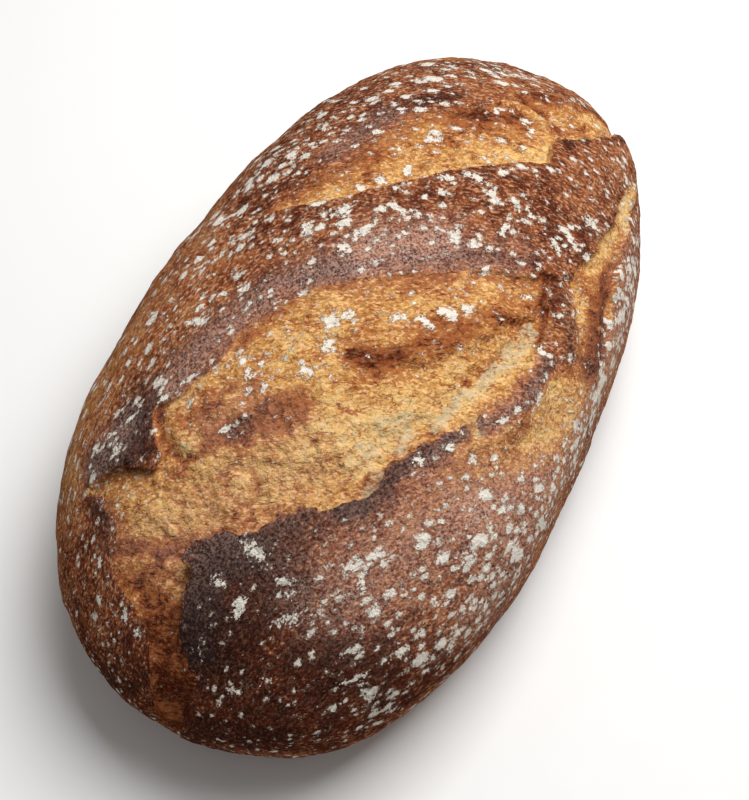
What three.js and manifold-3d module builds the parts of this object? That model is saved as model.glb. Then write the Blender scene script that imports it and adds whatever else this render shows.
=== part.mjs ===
// A hand-shaped sourdough loaf: a long oval, domed on top and flat underneath, with three slanting slashes
// that opened in the oven. The middle one tore wide open and ran on down the near end.
// It is one piece of bread, so it is one solid. Millimetres, +Z up, length along X, the near end at -X.
//
// Slashes and tears are drawn on a crust map: the loaf's plan in millimetres, with the crown at its middle. A
// step on the map is the same share of the way down the side everywhere, and the plan's outline is where the
// side stands upright.
import * as THREE from "three";
import { mergeVertices } from "three/addons/utils/BufferGeometryUtils.js";
import Module from "manifold-3d";

// Driving dimensions of the unslashed loaf
const LENGTH = 290;
const WIDTH = 168;
const HEIGHT = 93;
const WAIST_HEIGHT = 34; // where the side stands upright and the loaf is widest
const FOOT_SHARE = 0.78; // width of the flat base, as a share of the widest
const OUTLINE_POWER = 2.15; // 2 is an ellipse, more is squarer
const DOME_POWER = 2.1;
const EGG_TAPER = -0.12; // the far end is narrower than the near end
const LOBES = [
  { turns: 3, cosine: -0.02, sine: -0.007 }, // slow waves in the outline, by how often they go round
  { turns: 4, cosine: -0.013, sine: 0 },
];
const BASE_CUT = 1; // how much of the baked bottom the flat base takes off

// Edges of torn crust, on the crust map. Walking along the line, the opening is on the left. The crust stands
// up by lift at the edge and sinks back over reach; the opening is as deep as drop and fades out over run.
const TORN_EDGES = [
  {
    name: "far slash, a raised lip that ends in an ear",
    line: [[-2, 40], [11, 22], [22, 8], [38, -9], [52, -21], [72, -28], [102, -36]],
    lift: 4, reach: 12, drop: 5, run: 27,
  },
  {
    name: "middle slash, far side where the band of crust curls over",
    line: [[10, -14], [0, 2], [-20, 16], [-42, 24], [-54, 21], [-64, 32], [-73, 39]],
    lift: 2.5, reach: 7, drop: 2.5, run: 14,
  },
  {
    name: "middle slash, flap that hangs over the tear",
    line: [[22, -37], [0, -25], [-14, -14], [-20, -3], [-38, 7], [-54, 14]],
    lift: 1.5, reach: 10, drop: 8, run: 17,
  },
  {
    name: "middle slash, near side",
    line: [[-100, 4], [-88, 3], [-74, 6], [-58, -8], [-40, -21], [-16, -35]],
    lift: 2.5, reach: 14, drop: 6, run: 20,
  },
  {
    name: "tear down the near end",
    line: [[-144, -6], [-120, -5], [-99, 1], [-76, 6]],
    lift: 1, reach: 10, drop: 2.5, run: 16,
  },
  {
    name: "opening at the right, below the band of crust",
    line: [[68, -50], [48, -44], [30, -38], [20, -37]],
    lift: 1.5, reach: 8, drop: 4.5, run: 14,
  },
  {
    name: "near slash",
    line: [[-38, -35], [-22, -48], [-6, -59], [10, -61], [17, -52]],
    lift: 0.5, reach: 6, drop: 3, run: 13,
  },
];

// Ridges of crust and crumb that stand up by height and are as wide as spread to each side
const RIDGES = [
  {
    name: "strap of crust across the tear",
    line: [[26, -34], [15, -41], [12, -54]],
    height: 5, spread: 5,
  },
  {
    name: "ragged ridge above the near slash",
    line: [[-30, -34], [-12, -42], [8, -43]],
    height: 2.5, spread: 4,
  },
  {
    name: "stepped fold in the far slash",
    line: [[50, 6], [60, -1], [69, -9], [70, -18]],
    height: 2, spread: 4,
  },
];

// The mesh: a box's even grid rounded to a ball, turned so that its rows run along the slashes
const CELLS_ACROSS = 44;
const CELLS_UP = 12;
const GRID_TURN = THREE.MathUtils.degToRad(-50);
const SNAP = 1.5; // points this near to a torn edge move onto it, so that the edge is a clean line
const CLIFF = 2.8; // how far the drop beside a torn edge takes to fall

const CRUST = { colour: 0x7a4326, roughness: 0.62, metalness: 0 };

const SIDE = Math.PI / 2; // fall at the waist
const FOOT = SIDE * 1.45; // fall at the edge of the base
const LINE_STEPS = 48;
const END_FADE = 0.22; // share of a line's length over which its relief fades in and out
const NORMAL_STEP = 1e-3;
const SAME_PLACE = 1e-4;
const wasm = await Module();
wasm.setup();

const { clamp, lerp, smoothstep } = THREE.MathUtils;
const superOval = (a, b, power) => (Math.abs(a) ** power + Math.abs(b) ** power) ** (-1 / power);
const bell = (x) => Math.exp(-x * x);
const fadeAtEnds = (along) => smoothstep(Math.min(along, 1 - along), 0, END_FADE);

// The plan's outline at the waist, by the turn round the crown
function outline(turn) {
  const [c, s] = [Math.cos(turn), Math.sin(turn)];
  let r = superOval(c, s, OUTLINE_POWER);
  r *= LOBES.reduce((sum, { turns, cosine, sine }) => {
    return sum + cosine * Math.cos(turns * turn) + sine * Math.sin(turns * turn);
  }, 1);
  return new THREE.Vector2((LENGTH / 2) * r * c, (WIDTH / 2) * r * s * (1 + EGG_TAPER * r * c));
}

// A point of the unslashed loaf, by the turn round the crown and the fall from it: a dome down to the waist,
// a side that curls in to the foot, and a base a little below the plane where it is cut flat
function loafPoint(turn, fall) {
  const rim = outline(turn);
  if (fall <= SIDE) {
    const [s, c] = [Math.sin(fall), Math.cos(fall)];
    const dome = superOval(s, c, DOME_POWER);
    return new THREE.Vector3(rim.x * dome * s, rim.y * dome * s, lerp(WAIST_HEIGHT, HEIGHT, dome * c));
  }
  const curl = (clamp((fall - SIDE) / (FOOT - SIDE), 0, 1) * Math.PI) / 2;
  const share = lerp(FOOT_SHARE, 1, Math.cos(curl)) * Math.min(1, (Math.PI - fall) / (Math.PI - FOOT));
  return new THREE.Vector3(rim.x * share, rim.y * share, lerp(WAIST_HEIGHT, -BASE_CUT, Math.sin(curl)));
}

function outwardNormal(turn, fall) {
  const around = loafPoint(turn + NORMAL_STEP, fall).sub(loafPoint(turn - NORMAL_STEP, fall));
  const down = loafPoint(turn, fall + NORMAL_STEP).sub(loafPoint(turn, fall - NORMAL_STEP));
  return down.cross(around).normalize();
}

function toMap(turn, fall) {
  const out = fall / SIDE;
  return new THREE.Vector2((LENGTH / 2) * out * Math.cos(turn), (WIDTH / 2) * out * Math.sin(turn));
}

function fromMap({ x, y }) {
  const [along, across] = [x / (LENGTH / 2), y / (WIDTH / 2)];
  return { turn: Math.atan2(across, along), fall: Math.hypot(along, across) * SIDE };
}

function withPath(feature) {
  const points = feature.line.map(([u, v]) => new THREE.Vector2(u, v));
  return { ...feature, path: new THREE.SplineCurve(points).getPoints(LINE_STEPS) };
}

// The nearest point of a path to a map point, how far it is (positive on the left) and how far along, 0 to 1
function nearestOnPath(path, p) {
  let best = { distance: Infinity, along: 0, point: path[0] };
  for (let i = 0; i + 1 < path.length; i++) {
    const run = path[i + 1].clone().sub(path[i]);
    const offset = p.clone().sub(path[i]);
    const t = clamp(offset.dot(run) / run.lengthSq(), 0, 1);
    const point = path[i].clone().addScaledVector(run, t);
    const distance = p.distanceTo(point);
    if (distance < Math.abs(best.distance)) {
      const left = run.cross(offset) < 0 ? -1 : 1;
      best = { distance: distance * left, along: (i + t) / (path.length - 1), point };
    }
  }
  return best;
}

const tornEdges = TORN_EDGES.map(withPath);
const ridges = RIDGES.map(withPath);

// The point of a torn edge that a map point is near enough to move onto, if there is one
function snapTarget(p) {
  const hits = tornEdges.map((edge) => nearestOnPath(edge.path, p));
  return hits.find(({ distance, along }) => Math.abs(distance) < SNAP && along > 0 && along < 1)?.point;
}

// How far the loaf's surface stands out from the unslashed one at a map point. Where openings meet, the
// deeper one counts, so that a floor between two edges isn't cut twice.
function relief(p) {
  let lift = 0;
  let sink = 0;
  for (const edge of tornEdges) {
    const { distance, along } = nearestOnPath(edge.path, p);
    const strength = fadeAtEnds(along);
    const past = smoothstep(distance, 0, CLIFF);
    const raised = edge.lift * (distance > 0 ? 1 - past : bell(distance / edge.reach));
    lift = Math.max(lift, raised * strength);
    sink = Math.max(sink, edge.drop * past * (1 - smoothstep(distance, CLIFF, edge.run)) * strength);
  }
  for (const ridge of ridges) {
    const { distance, along } = nearestOnPath(ridge.path, p);
    lift = Math.max(lift, ridge.height * bell(distance / ridge.spread) * fadeAtEnds(along));
  }
  return lift - sink;
}

function mergedByPlace(geometry) {
  geometry.deleteAttribute("normal");
  geometry.deleteAttribute("uv");
  return mergeVertices(geometry, SAME_PLACE);
}

// The same direction that a box point has on a ball, spaced so that the box's cells stay much alike
function onBall({ x, y, z }) {
  const [xx, yy, zz] = [x * x, y * y, z * z];
  return new THREE.Vector3(
    x * Math.sqrt(1 - yy / 2 - zz / 2 + (yy * zz) / 3),
    y * Math.sqrt(1 - zz / 2 - xx / 2 + (zz * xx) / 3),
    z * Math.sqrt(1 - xx / 2 - yy / 2 + (xx * yy) / 3),
  );
}

// A box's cell comes as the triangles abd and bcd. Where a torn edge runs from a to c, the cell is split
// along it.
function splitCellsAlong(onEdge, grid) {
  const corners = grid.index.array;
  for (let i = 0; i < corners.length; i += 6) {
    const [a, b, d, , c] = corners.subarray(i, i + 6);
    if (onEdge[a] && onEdge[c] && !(onEdge[b] && onEdge[d])) corners.set([a, b, c, a, c, d], i);
  }
}

function slashedLoaf() {
  const grid = mergedByPlace(new THREE.BoxGeometry(2, 2, 2, CELLS_ACROSS, CELLS_ACROSS, CELLS_UP));
  const place = grid.attributes.position;
  const corner = new THREE.Vector3();
  const onEdge = [];
  for (let i = 0; i < place.count; i++) {
    const ball = onBall(corner.fromBufferAttribute(place, i));
    const free = toMap(Math.atan2(ball.y, ball.x) + GRID_TURN, Math.acos(clamp(ball.z, -1, 1)));
    const snapped = snapTarget(free);
    onEdge.push(Boolean(snapped));
    const onMap = snapped ?? free;
    const { turn, fall } = fromMap(onMap);
    const point = loafPoint(turn, fall);
    if (fall > 0 && fall < FOOT) point.addScaledVector(outwardNormal(turn, fall), relief(onMap));
    place.setXYZ(i, point.x, point.y, point.z);
  }
  splitCellsAlong(onEdge, grid);
  return grid;
}

function solidOf(geometry) {
  const mesh = new wasm.Mesh({
    numProp: 3,
    vertProperties: geometry.attributes.position.array,
    triVerts: new Uint32Array(geometry.index.array),
  });
  return new wasm.Manifold(mesh);
}

function geometryOf(solid) {
  const mesh = solid.getMesh();
  return new THREE.BufferGeometry()
    .setAttribute("position", new THREE.BufferAttribute(new Float32Array(mesh.vertProperties), 3))
    .setIndex(new THREE.BufferAttribute(new Uint32Array(mesh.triVerts), 1));
}

// The bottom is flat, because the loaf baked on a flat stone
function cutFlat(geometry) {
  const below = new THREE.BoxGeometry(2 * LENGTH, 2 * WIDTH, HEIGHT).translate(0, 0, -HEIGHT / 2);
  return geometryOf(solidOf(geometry).subtract(solidOf(mergedByPlace(below))));
}

// Puts the origin on what the loaf rests on, under the middle of its length and width
function centred(geometry) {
  geometry.computeBoundingBox();
  const { min, max } = geometry.boundingBox;
  return geometry.translate(-(min.x + max.x) / 2, -(min.y + max.y) / 2, -min.z);
}

function bakedCrust() {
  return new THREE.MeshStandardMaterial({
    color: CRUST.colour,
    roughness: CRUST.roughness,
    metalness: CRUST.metalness,
  });
}

const loaf = new THREE.Mesh(centred(cutFlat(slashedLoaf())), bakedCrust());
loaf.name = "loaf";

const sourdoughLoaf = new THREE.Group();
sourdoughLoaf.add(loaf);

export default sourdoughLoaf;
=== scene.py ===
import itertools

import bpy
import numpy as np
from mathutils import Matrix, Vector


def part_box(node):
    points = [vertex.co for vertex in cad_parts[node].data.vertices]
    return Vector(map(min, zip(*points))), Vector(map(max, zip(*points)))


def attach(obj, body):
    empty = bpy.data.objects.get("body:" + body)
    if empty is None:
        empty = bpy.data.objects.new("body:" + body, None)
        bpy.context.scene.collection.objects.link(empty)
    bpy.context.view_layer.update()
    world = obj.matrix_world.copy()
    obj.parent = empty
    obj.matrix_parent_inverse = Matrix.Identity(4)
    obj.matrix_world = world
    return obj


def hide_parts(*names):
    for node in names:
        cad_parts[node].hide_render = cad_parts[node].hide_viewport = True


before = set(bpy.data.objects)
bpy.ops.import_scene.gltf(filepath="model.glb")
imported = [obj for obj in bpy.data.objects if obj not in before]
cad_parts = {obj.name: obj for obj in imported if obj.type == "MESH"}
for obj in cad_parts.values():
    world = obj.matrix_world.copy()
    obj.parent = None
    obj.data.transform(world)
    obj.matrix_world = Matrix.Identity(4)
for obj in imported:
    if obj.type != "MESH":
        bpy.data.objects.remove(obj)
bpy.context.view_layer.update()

# A hand-shaped sourdough loaf with three slanting slashes, the middle one torn wide open, dusted with flour.
#
# The loaf is modelled in millimetres on a crust map: its plan, with the crown at the middle. A step on the
# map is the same share of the way down the side everywhere, and the plan's outline is where the side stands
# upright. The near end is at -X, so "left" is +Y for someone who stands there and looks along the loaf.

bl_info = {
    "name": "Sourdough Loaf",
    "version": (1, 0, 0),
    "blender": (4, 5, 0),
    "location": "3D View > Sidebar > Bread",
    "description": "Builds a slashed and floured sourdough loaf on a plain studio floor",
    "category": "Add Mesh",
}

LOW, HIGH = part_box("loaf")
MM = 0.001
SIZE = (HIGH - LOW) / MM

# ---------------------------------------------------------------- the unslashed loaf
WAVE_LOSS = (1.0125, 1.0096)   # the outline's waves take this much off the length and the width again
LIPS_ABOVE_CROWN = 2.3         # how far the highest lip stands above the crown
LENGTH = SIZE.x * WAVE_LOSS[0]
WIDTH = SIZE.y * WAVE_LOSS[1]
HEIGHT = SIZE.z - LIPS_ABOVE_CROWN
WAIST_HEIGHT = 34.0            # where the side stands upright and the loaf is widest
FOOT_SHARE = 0.78              # width of the flat base, as a share of the widest
OUTLINE_POWER = 2.15           # 2 is an ellipse, more is squarer
DOME_POWER = 2.1
EGG_TAPER = -0.12              # the far end is narrower than the near end
LOBES = ((3, -0.020, -0.007), (4, -0.013, 0.0))   # slow waves: times round, cosine part, sine part
BASE_CUT = 1.0                 # how much of the baked bottom the flat base takes off

SIDE = np.pi / 2               # fall at the waist
FOOT = SIDE * 1.45             # fall at the edge of the base
HALF = np.array((LENGTH / 2, WIDTH / 2))
OUTLINE_POINTS = 3601          # of the outline, to work out the loaf's middle from
NORMAL_STEP = 0.2              # on the map, each way from where a normal is wanted

# ---------------------------------------------------------------- how fine the mesh is
CELLS_ACROSS = 232             # over the top, each way
CELLS_DOWN = 36                # from the top's edge to the foot
BASE_RINGS = 5
GRID_TURN = np.radians(-50.0)  # the rows run along the slashes
GATHER = 4.5                   # points within this of a torn edge are drawn towards it, for a crisp edge
GATHER_POWER = 1.5
GATHER_ENDS = 0.06             # share of an edge's length, at each end, over which this fades in

# The texture map is a disc: the crust map, with the side squeezed into its outer rim. The base is a small
# disc of its own in a corner.
MAP_RADIUS = 0.49
MAP_TOP = 0.86                 # share of the disc's radius for the top
MAP_BASE = (0.08, 0.08)
MAP_BASE_RADIUS = 0.075

# ---------------------------------------------------------------- lines that edges and openings share
FAR_LIP = (
    (-6.5, 37), (0.5, 33.5), (5.5, 30.5), (9, 24.5), (11.5, 18.5), (14.5, 13), (19, 8.5), (24.5, 3.5),
    (30, -1.5), (34, -7), (38.5, -12), (42, -15.5), (45.5, -19.5), (48.5, -21.8), (52, -21.3), (57, -20),
    (61, -22), (64, -26.4), (67.5, -26.6), (70, -30.6), (74.5, -30.4), (78, -34.2), (83, -34.4), (87, -37.6),
    (93, -37.6),
)
BAND = (
    (21, -32.5), (18.5, -29), (16, -24.5), (12.5, -19), (8.5, -13.5), (5, -8.5), (0.5, -1.5), (-4.5, 5),
    (-9, 9.5), (-14.5, 13), (-19.5, 16),
)
BAND_END = (
    (-24.5, 18), (-28.5, 17.8), (-33, 19), (-37, 21), (-40.5, 22), (-43, 24.5), (-45, 26.8), (-48.5, 26),
    (-52, 23), (-55.5, 20.8), (-58, 20.8), (-59.5, 25), (-61.5, 28.5), (-64, 30.8), (-67.5, 33.5),
)
NEAR_SIDE = (
    (-100, -0.5), (-95, 1.5), (-90, 2), (-86, 2.5), (-84, 3.8), (-81, 3.5), (-78.5, 3.2), (-76, 5),
    (-73.5, 6), (-70.5, 5), (-68, 3), (-66, -0.5), (-65, -2.8), (-61, -5.3), (-57, -7), (-54, -10),
    (-52, -11), (-52.3, -13), (-50.5, -15), (-47, -17.2), (-43.5, -19.8), (-40, -20.2), (-36.5, -20),
    (-34, -22), (-30.5, -24), (-26.5, -26.5), (-23.5, -29), (-20.5, -32),
)
CHANNEL_RIGHT = ((-148, -4.5), (-138, -6), (-125, -5.5), (-112, -6))
CHANNEL_LEFT = ((-92.5, 17.5), (-96, 13), (-103, 8), (-117.5, 4.8), (-137, 4), (-148, 0.5))
RIGHT_END = (
    (76, -46), (68, -44), (60, -43), (52, -42.8), (46, -42.3), (40.5, -41.5), (35, -40.3), (30, -39),
)

# ---------------------------------------------------------------- torn edges and slashes, on the crust map
# Walking along a line, the opening is on the left. Crust stands up by lift at the edge and sinks back over
# reach. The opening is as deep as drop beside the edge and fades out over run. Overhang is how far the lip
# leans over it. Where a value is a tuple, it is spread evenly along the line.
WALL = 0.9                 # how far the drop beside an edge takes to fall, unless the edge gives its own
LIFT_LIMIT = 2.2           # the lift ends for certain at this many times its reach
LEAN_REACH = 3.0           # how far behind the edge, and beyond the wall, a lip leans
UNDERCUT = 0.7             # how far the wall's foot goes back under the lip, as a share of the overhang
EDGES = (
    # far slash, a raised lip that ends in an ear
    dict(line=FAR_LIP + ((104, -41),), lift=(0, 1.8, 2.8, 3, 2.2, 1, 1.4, 2.6, 1), reach=13,
         drop=(0, 2, 4, 5, 4, 1.4, 1.4, 3, 1), run=27, overhang=(0, 0.6, 1.2, 1.2, 0.7, 0, 0.3, 0.8, 0.4)),
    # band of crust beside the golden plane
    dict(line=((31, -39.5), (27, -38.5), (23.5, -36)) + BAND, lift=(0.2, 0.7, 0.7, 0.6, 0.5, 0.4, 0.2, 0),
         reach=7, drop=(0.4, 1.1, 1, 0.8, 0.7, 0.5, 0.3, 0), run=9, overhang=(0, 0.2, 0.15, 0, 0)),
    # the band's left end, with a notch
    dict(line=BAND_END + ((-73, 37),), lift=(0, 0.6, 0.8, 0.9, 1.2, 2.2, 2.8, 2, 0.5), reach=8,
         drop=(0, 0.8, 0.8, 0.8, 1, 1.6, 1.9, 1.2, 0), run=12,
         overhang=(0, 0.3, 0.3, 0.3, 0.4, 0.8, 0.9, 0.6, 0)),
    # flap between the golden plane and the tear
    dict(line=((20, -37.5), (14.5, -35.5), (9.5, -32), (5, -29), (0, -26.8), (-5, -23.8), (-9.5, -19.5),
               (-13.5, -15), (-16.5, -10), (-19, -4.5), (-25, 0), (-31.5, 2.5), (-36, 4.5), (-41, 8.5),
               (-45, 10.5), (-49, 14.5)),
         lift=(0, 0.5, 0.7, 0.7, 0.7, 0.4, 0.2, 0.5, 0.6, 0), reach=7, wall=2.4,
         drop=(0, 1, 1.3, 1.3, 1.3, 0.8, 0.2, 0.8, 1, 0), run=9, overhang=0),
    # near side of the tear
    dict(line=((-104, -2.5),) + NEAR_SIDE, reach=15, run=24,
         lift=(0, 1.2, 2.2, 2.5, 2.8, 2.6, 2.4, 2, 1.6, 1.4, 1.2, 0.6, 0),
         drop=(0, 2, 2.8, 3.4, 4.5, 5.5, 6, 6, 5, 4, 3, 1.5, 0),
         overhang=(0, 0.2, 0.2, 0.3, 0.5, 0.8, 0.9, 0.9, 0.8, 0.6, 0.4, 0, 0)),
    # channel down the near end, its right side and its left side
    dict(line=CHANNEL_RIGHT + ((-104, -2.5),), lift=(0.8, 1, 0.8, 0), reach=9, drop=(2, 2, 1.6, 0), run=13,
         overhang=(0.4, 0.4, 0)),
    dict(line=CHANNEL_LEFT, lift=(0, 0.4, 0.4), reach=9, drop=(0, 0.8, 1), run=10, overhang=0),
    # right end of the opening, below the band
    dict(line=RIGHT_END + ((26, -38),), lift=(0, 0.5, 0.8, 0.8, 0.6, 0), reach=8,
         drop=(0, 1.2, 1.8, 2, 1.6, 0), run=10, overhang=(0, 0.2, 0.3, 0.3, 0.2, 0)),
    # near slash, right part of its near side
    dict(line=((15, -61.5), (20, -61.5), (24, -60.5), (30, -57), (36, -53), (41, -51), (50, -51.3),
               (60.5, -50.8), (75, -49)),
         lift=(0, 0.5, 0.8, 0.6, 0.4, 0), reach=6, drop=(0, 1.8, 2.4, 2.2, 1.6, 0), run=8,
         overhang=(0, 0.3, 0.3, 0)),
)

# Ridges and grooves, up or down by height and as wide as spread to each side
RIDGES = (
    # strap across the tear, and its lower end
    dict(line=((25, -36), (21, -38.5), (17, -41.5), (13, -45.5), (10, -49.5)), height=(0.4, 2, 2.4, 2, 0.6),
         spread=3.4),
    dict(line=((8, -43.5), (2, -43.5), (-4, -43), (-10, -41.3), (-15.5, -38.5), (-20, -35)),
         height=(1, 1.5, 1.4, 1.1, 0.4), spread=2.8),
    # curled crust on the near side of the tear
    dict(line=((-43, -23), (-37, -23), (-33.5, -25), (-30, -26.5), (-26, -29), (-22.5, -32)),
         height=(0, 0.8, 1.2, 1, 0), spread=2.6),
    # hollow of the near slash
    dict(line=((3.5, -53), (-2.5, -55), (-8, -55.5), (-15, -52.5), (-21.5, -47.5), (-28, -43)),
         height=(-0.8, -2.4, -2.6, -2.4, -1.6, 0), spread=6),
    # furrow along the tear
    dict(line=((-52, -10), (-46, -15), (-38, -17), (-30, -20), (-22, -25.5), (-14, -30), (0, -35),
               (9, -36.5)),
         height=(0, -1.8, -2.2, -2, 0), spread=4.5),
    # rim of the flap's lobe, the crease outside it, and the crease at the flap's foot
    dict(line=((-42, 23.5), (-44.5, 23), (-47.5, 20.8), (-49.5, 18.2), (-50.3, 16), (-48.5, 13.5)),
         height=(0.3, 0.9, 1.1, 1, 0.4), spread=2),
    dict(line=((-44.5, 26.5), (-47.2, 24.8), (-50, 22), (-52.5, 19.5), (-53.5, 17), (-52.8, 14.3),
               (-50.5, 12.5)),
         height=(-0.3, -0.8, -0.8, -0.6, 0), spread=1.2),
    dict(line=((-46.5, 11), (-44.5, 9), (-41, 7.5), (-38.5, 5), (-35.5, 3)), height=(0, -1.1, -1.1, -0.8, 0),
         spread=1.8),
    # crease between the flap's foot and the strap
    dict(line=((8, -37), (0, -34.5), (-7, -32), (-13, -29.5)), height=(0, -1.1, -1.1, 0), spread=2.2),
    # nested rings in the far slash, with the creases beside them
    dict(line=((63, 0), (66.5, -4), (69, -7.5), (67.5, -12), (64.5, -16), (61, -18)),
         height=(0.6, 1.6, 1.8, 1.4, 0), spread=2),
    dict(line=((66, 2), (70, -3), (72, -8), (70.5, -13), (67, -17.5)), height=(0, -1.2, -1.2, 0), spread=1.6),
    dict(line=((71, -2), (76, -6), (79.5, -12), (82.5, -16.5), (85.5, -21.5), (88, -27)),
         height=(0, 1.4, 1.5, 0.5), spread=2.4),
    dict(line=((54, 13), (56.5, 6), (57, -1)), height=(0, -0.9, -0.4), spread=2),
    # flatter along the right side, and fuller at the far end
    dict(line=((-55, -76), (-10, -82), (30, -78), (70, -66), (105, -45), (125, -25)),
         height=(0, -2.6, -2.8, -1.8, -1, -1.6, 0), spread=15),
    dict(line=((122, -12), (125, 8), (115, 35), (98, 52)), height=(0, 1.3, 1.3, 0), spread=13),
)

# Openings, where no dark crust covers the crumb: outlines on the crust map, and islands of crust in them
OPENINGS = (
    # far slash
    FAR_LIP + (
        (99, -39), (98, -32), (92, -24), (84.5, -14.5), (78, -8), (69.5, -3), (63, 2), (55.5, 8), (48.5, 13),
        (42, 16), (34, 19), (26, 22), (18, 27), (14, 29.5), (10, 31.5), (4, 35),
    ),
    # middle slash and tear, near slash, and the channel down the near end
    ((-73.5, 37),) + BAND_END[::-1] + BAND[::-1] + ((24, -36.8),) + RIGHT_END[::-1] + (
        (75, -49), (60.5, -50.3), (50, -51), (42, -51.5), (36, -54), (30, -57), (24, -60.5), (20, -61.5),
        (14, -62.5), (7, -63), (-2, -63.5), (-11, -60.5), (-17, -55), (-24.5, -49), (-30, -43), (-32, -36),
        (-30.5, -31.5), (-27.5, -31.2), (-24, -33.5),
    ) + NEAR_SIDE[::-1] + ((-104, -3),) + CHANNEL_RIGHT[::-1] + ((-154, -2),) + CHANNEL_LEFT[::-1] + (
        (-87, 21.5), (-80.5, 21), (-77, 23), (-72.5, 26), (-72, 31),
    ),
)
# The strap and its lower end
ISLANDS = (
    ((28, -35), (22, -34.5), (17, -36), (12.5, -39), (8, -40.5), (3, -40.5), (-3, -40), (-9, -38.5),
     (-14, -36.5), (-19, -34), (-21, -36.5), (-16, -40.5), (-10.5, -44), (-4, -46), (2, -46.5), (6, -49),
     (9.5, -51.5), (13, -50.5), (17, -47), (21, -43), (24.5, -40), (29, -38)),
)
OPENING_REACH = 12.0   # how far from an opening's outline its distance is measured

# How far the colour takes to change: at torn edges, at islands and elsewhere
SHARP = 0.35
RAGGED = 2.2
SOFT = 5.0
SOFTENS = (1.5, 8)     # it is sharp up to the first distance from an edge, and soft beyond the second

# Marks: a line, its spread to each side, and what it adds on the line itself. They add to how far the crust
# and the open crumb are baked, and to how much there is of pale crumb, charcoal, flour film with painted
# sheen, and flecks.
CRUST_MARKS = (
    (((-66, 34), (-45, 31), (-25, 23), (-10, 16), (-2, 8), (6, -4), (13, -14), (21, -28)), 5.0, 0.07),
    (((-8, 13), (2, 2), (10, -9), (16, -19), (22, -29)), 1.3, 0.14),
    (((-98, -4), (-88, -3), (-76, -1), (-67, -7)), 10.0, 0.26),
    (((-66, -7), (-56, -12), (-46, -21)), 3.4, 0.09),
    (((-45, -22), (-37, -23), (-30, -26), (-22, -31)), 2.2, 0.10),
    (((-46, -29), (-36, -34), (-27, -39)), 6.5, -0.14),
    (((-92, 0), (-80, 2), (-70, 0)), 4.0, 0.10),
    # these three make the crust darker towards the near end
    (((-92, -22), (-115, -18), (-142, -8)), 22.0, 0.19),
    (((-90, -46), (-122, -34)), 20.0, 0.15),
    (((-92, 32), (-118, 24), (-136, 20)), 13.0, 0.21),
    (((12, 36), (26, 27), (44, 22), (62, 10)), 5.0, 0.12),
    (((86, -14), (92, -22), (100, -32)), 6.0, 0.14),
    (((60, -23), (66, -27.5), (76, -32.5), (88, -37)), 2.4, 0.18),
    (((-50, 29), (-56, 26), (-60, 30), (-66, 35)), 6.0, 0.20),
    (((4, -43.5), (-5, -43), (-12, -41), (-19, -36)), 3.0, 0.12),
    (((22, -35.5), (17, -37), (13, -40)), 1.2, 0.20),
    (((20, -44), (16, -48), (11, -50)), 1.6, 0.12),
    (((-76, 27), (-74, 32)), 4.0, 0.18),
    (((-20, -66), (30, -66)), 14.0, -0.09),
    # painted light: lighter on the left side, which the lamp leaves in shade
    (((-62, 52), (-10, 56)), 12.0, -0.14),
    (((72, 8), (92, -6)), 6.0, -0.06),
    (((30, 42), (50, 36), (72, 26), (92, 14), (106, 0)), 9.0, 0.07),
    (((8, 28), (16, 12), (24, -4), (32, -20), (36, -32)), 9.0, 0.08),
    # painted light: these two make the left side lighter where the lamp leaves it in shade
    (((-110, 44), (-80, 52), (-50, 60)), 10.0, -0.08),
    (((-108, 26), (-90, 36), (-72, 44)), 8.0, -0.12),
    (((-140, 12), (-132, 2)), 8.0, -0.06),
    (((-112, 22), (-116, 23)), 3.6, -0.12),
)
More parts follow.
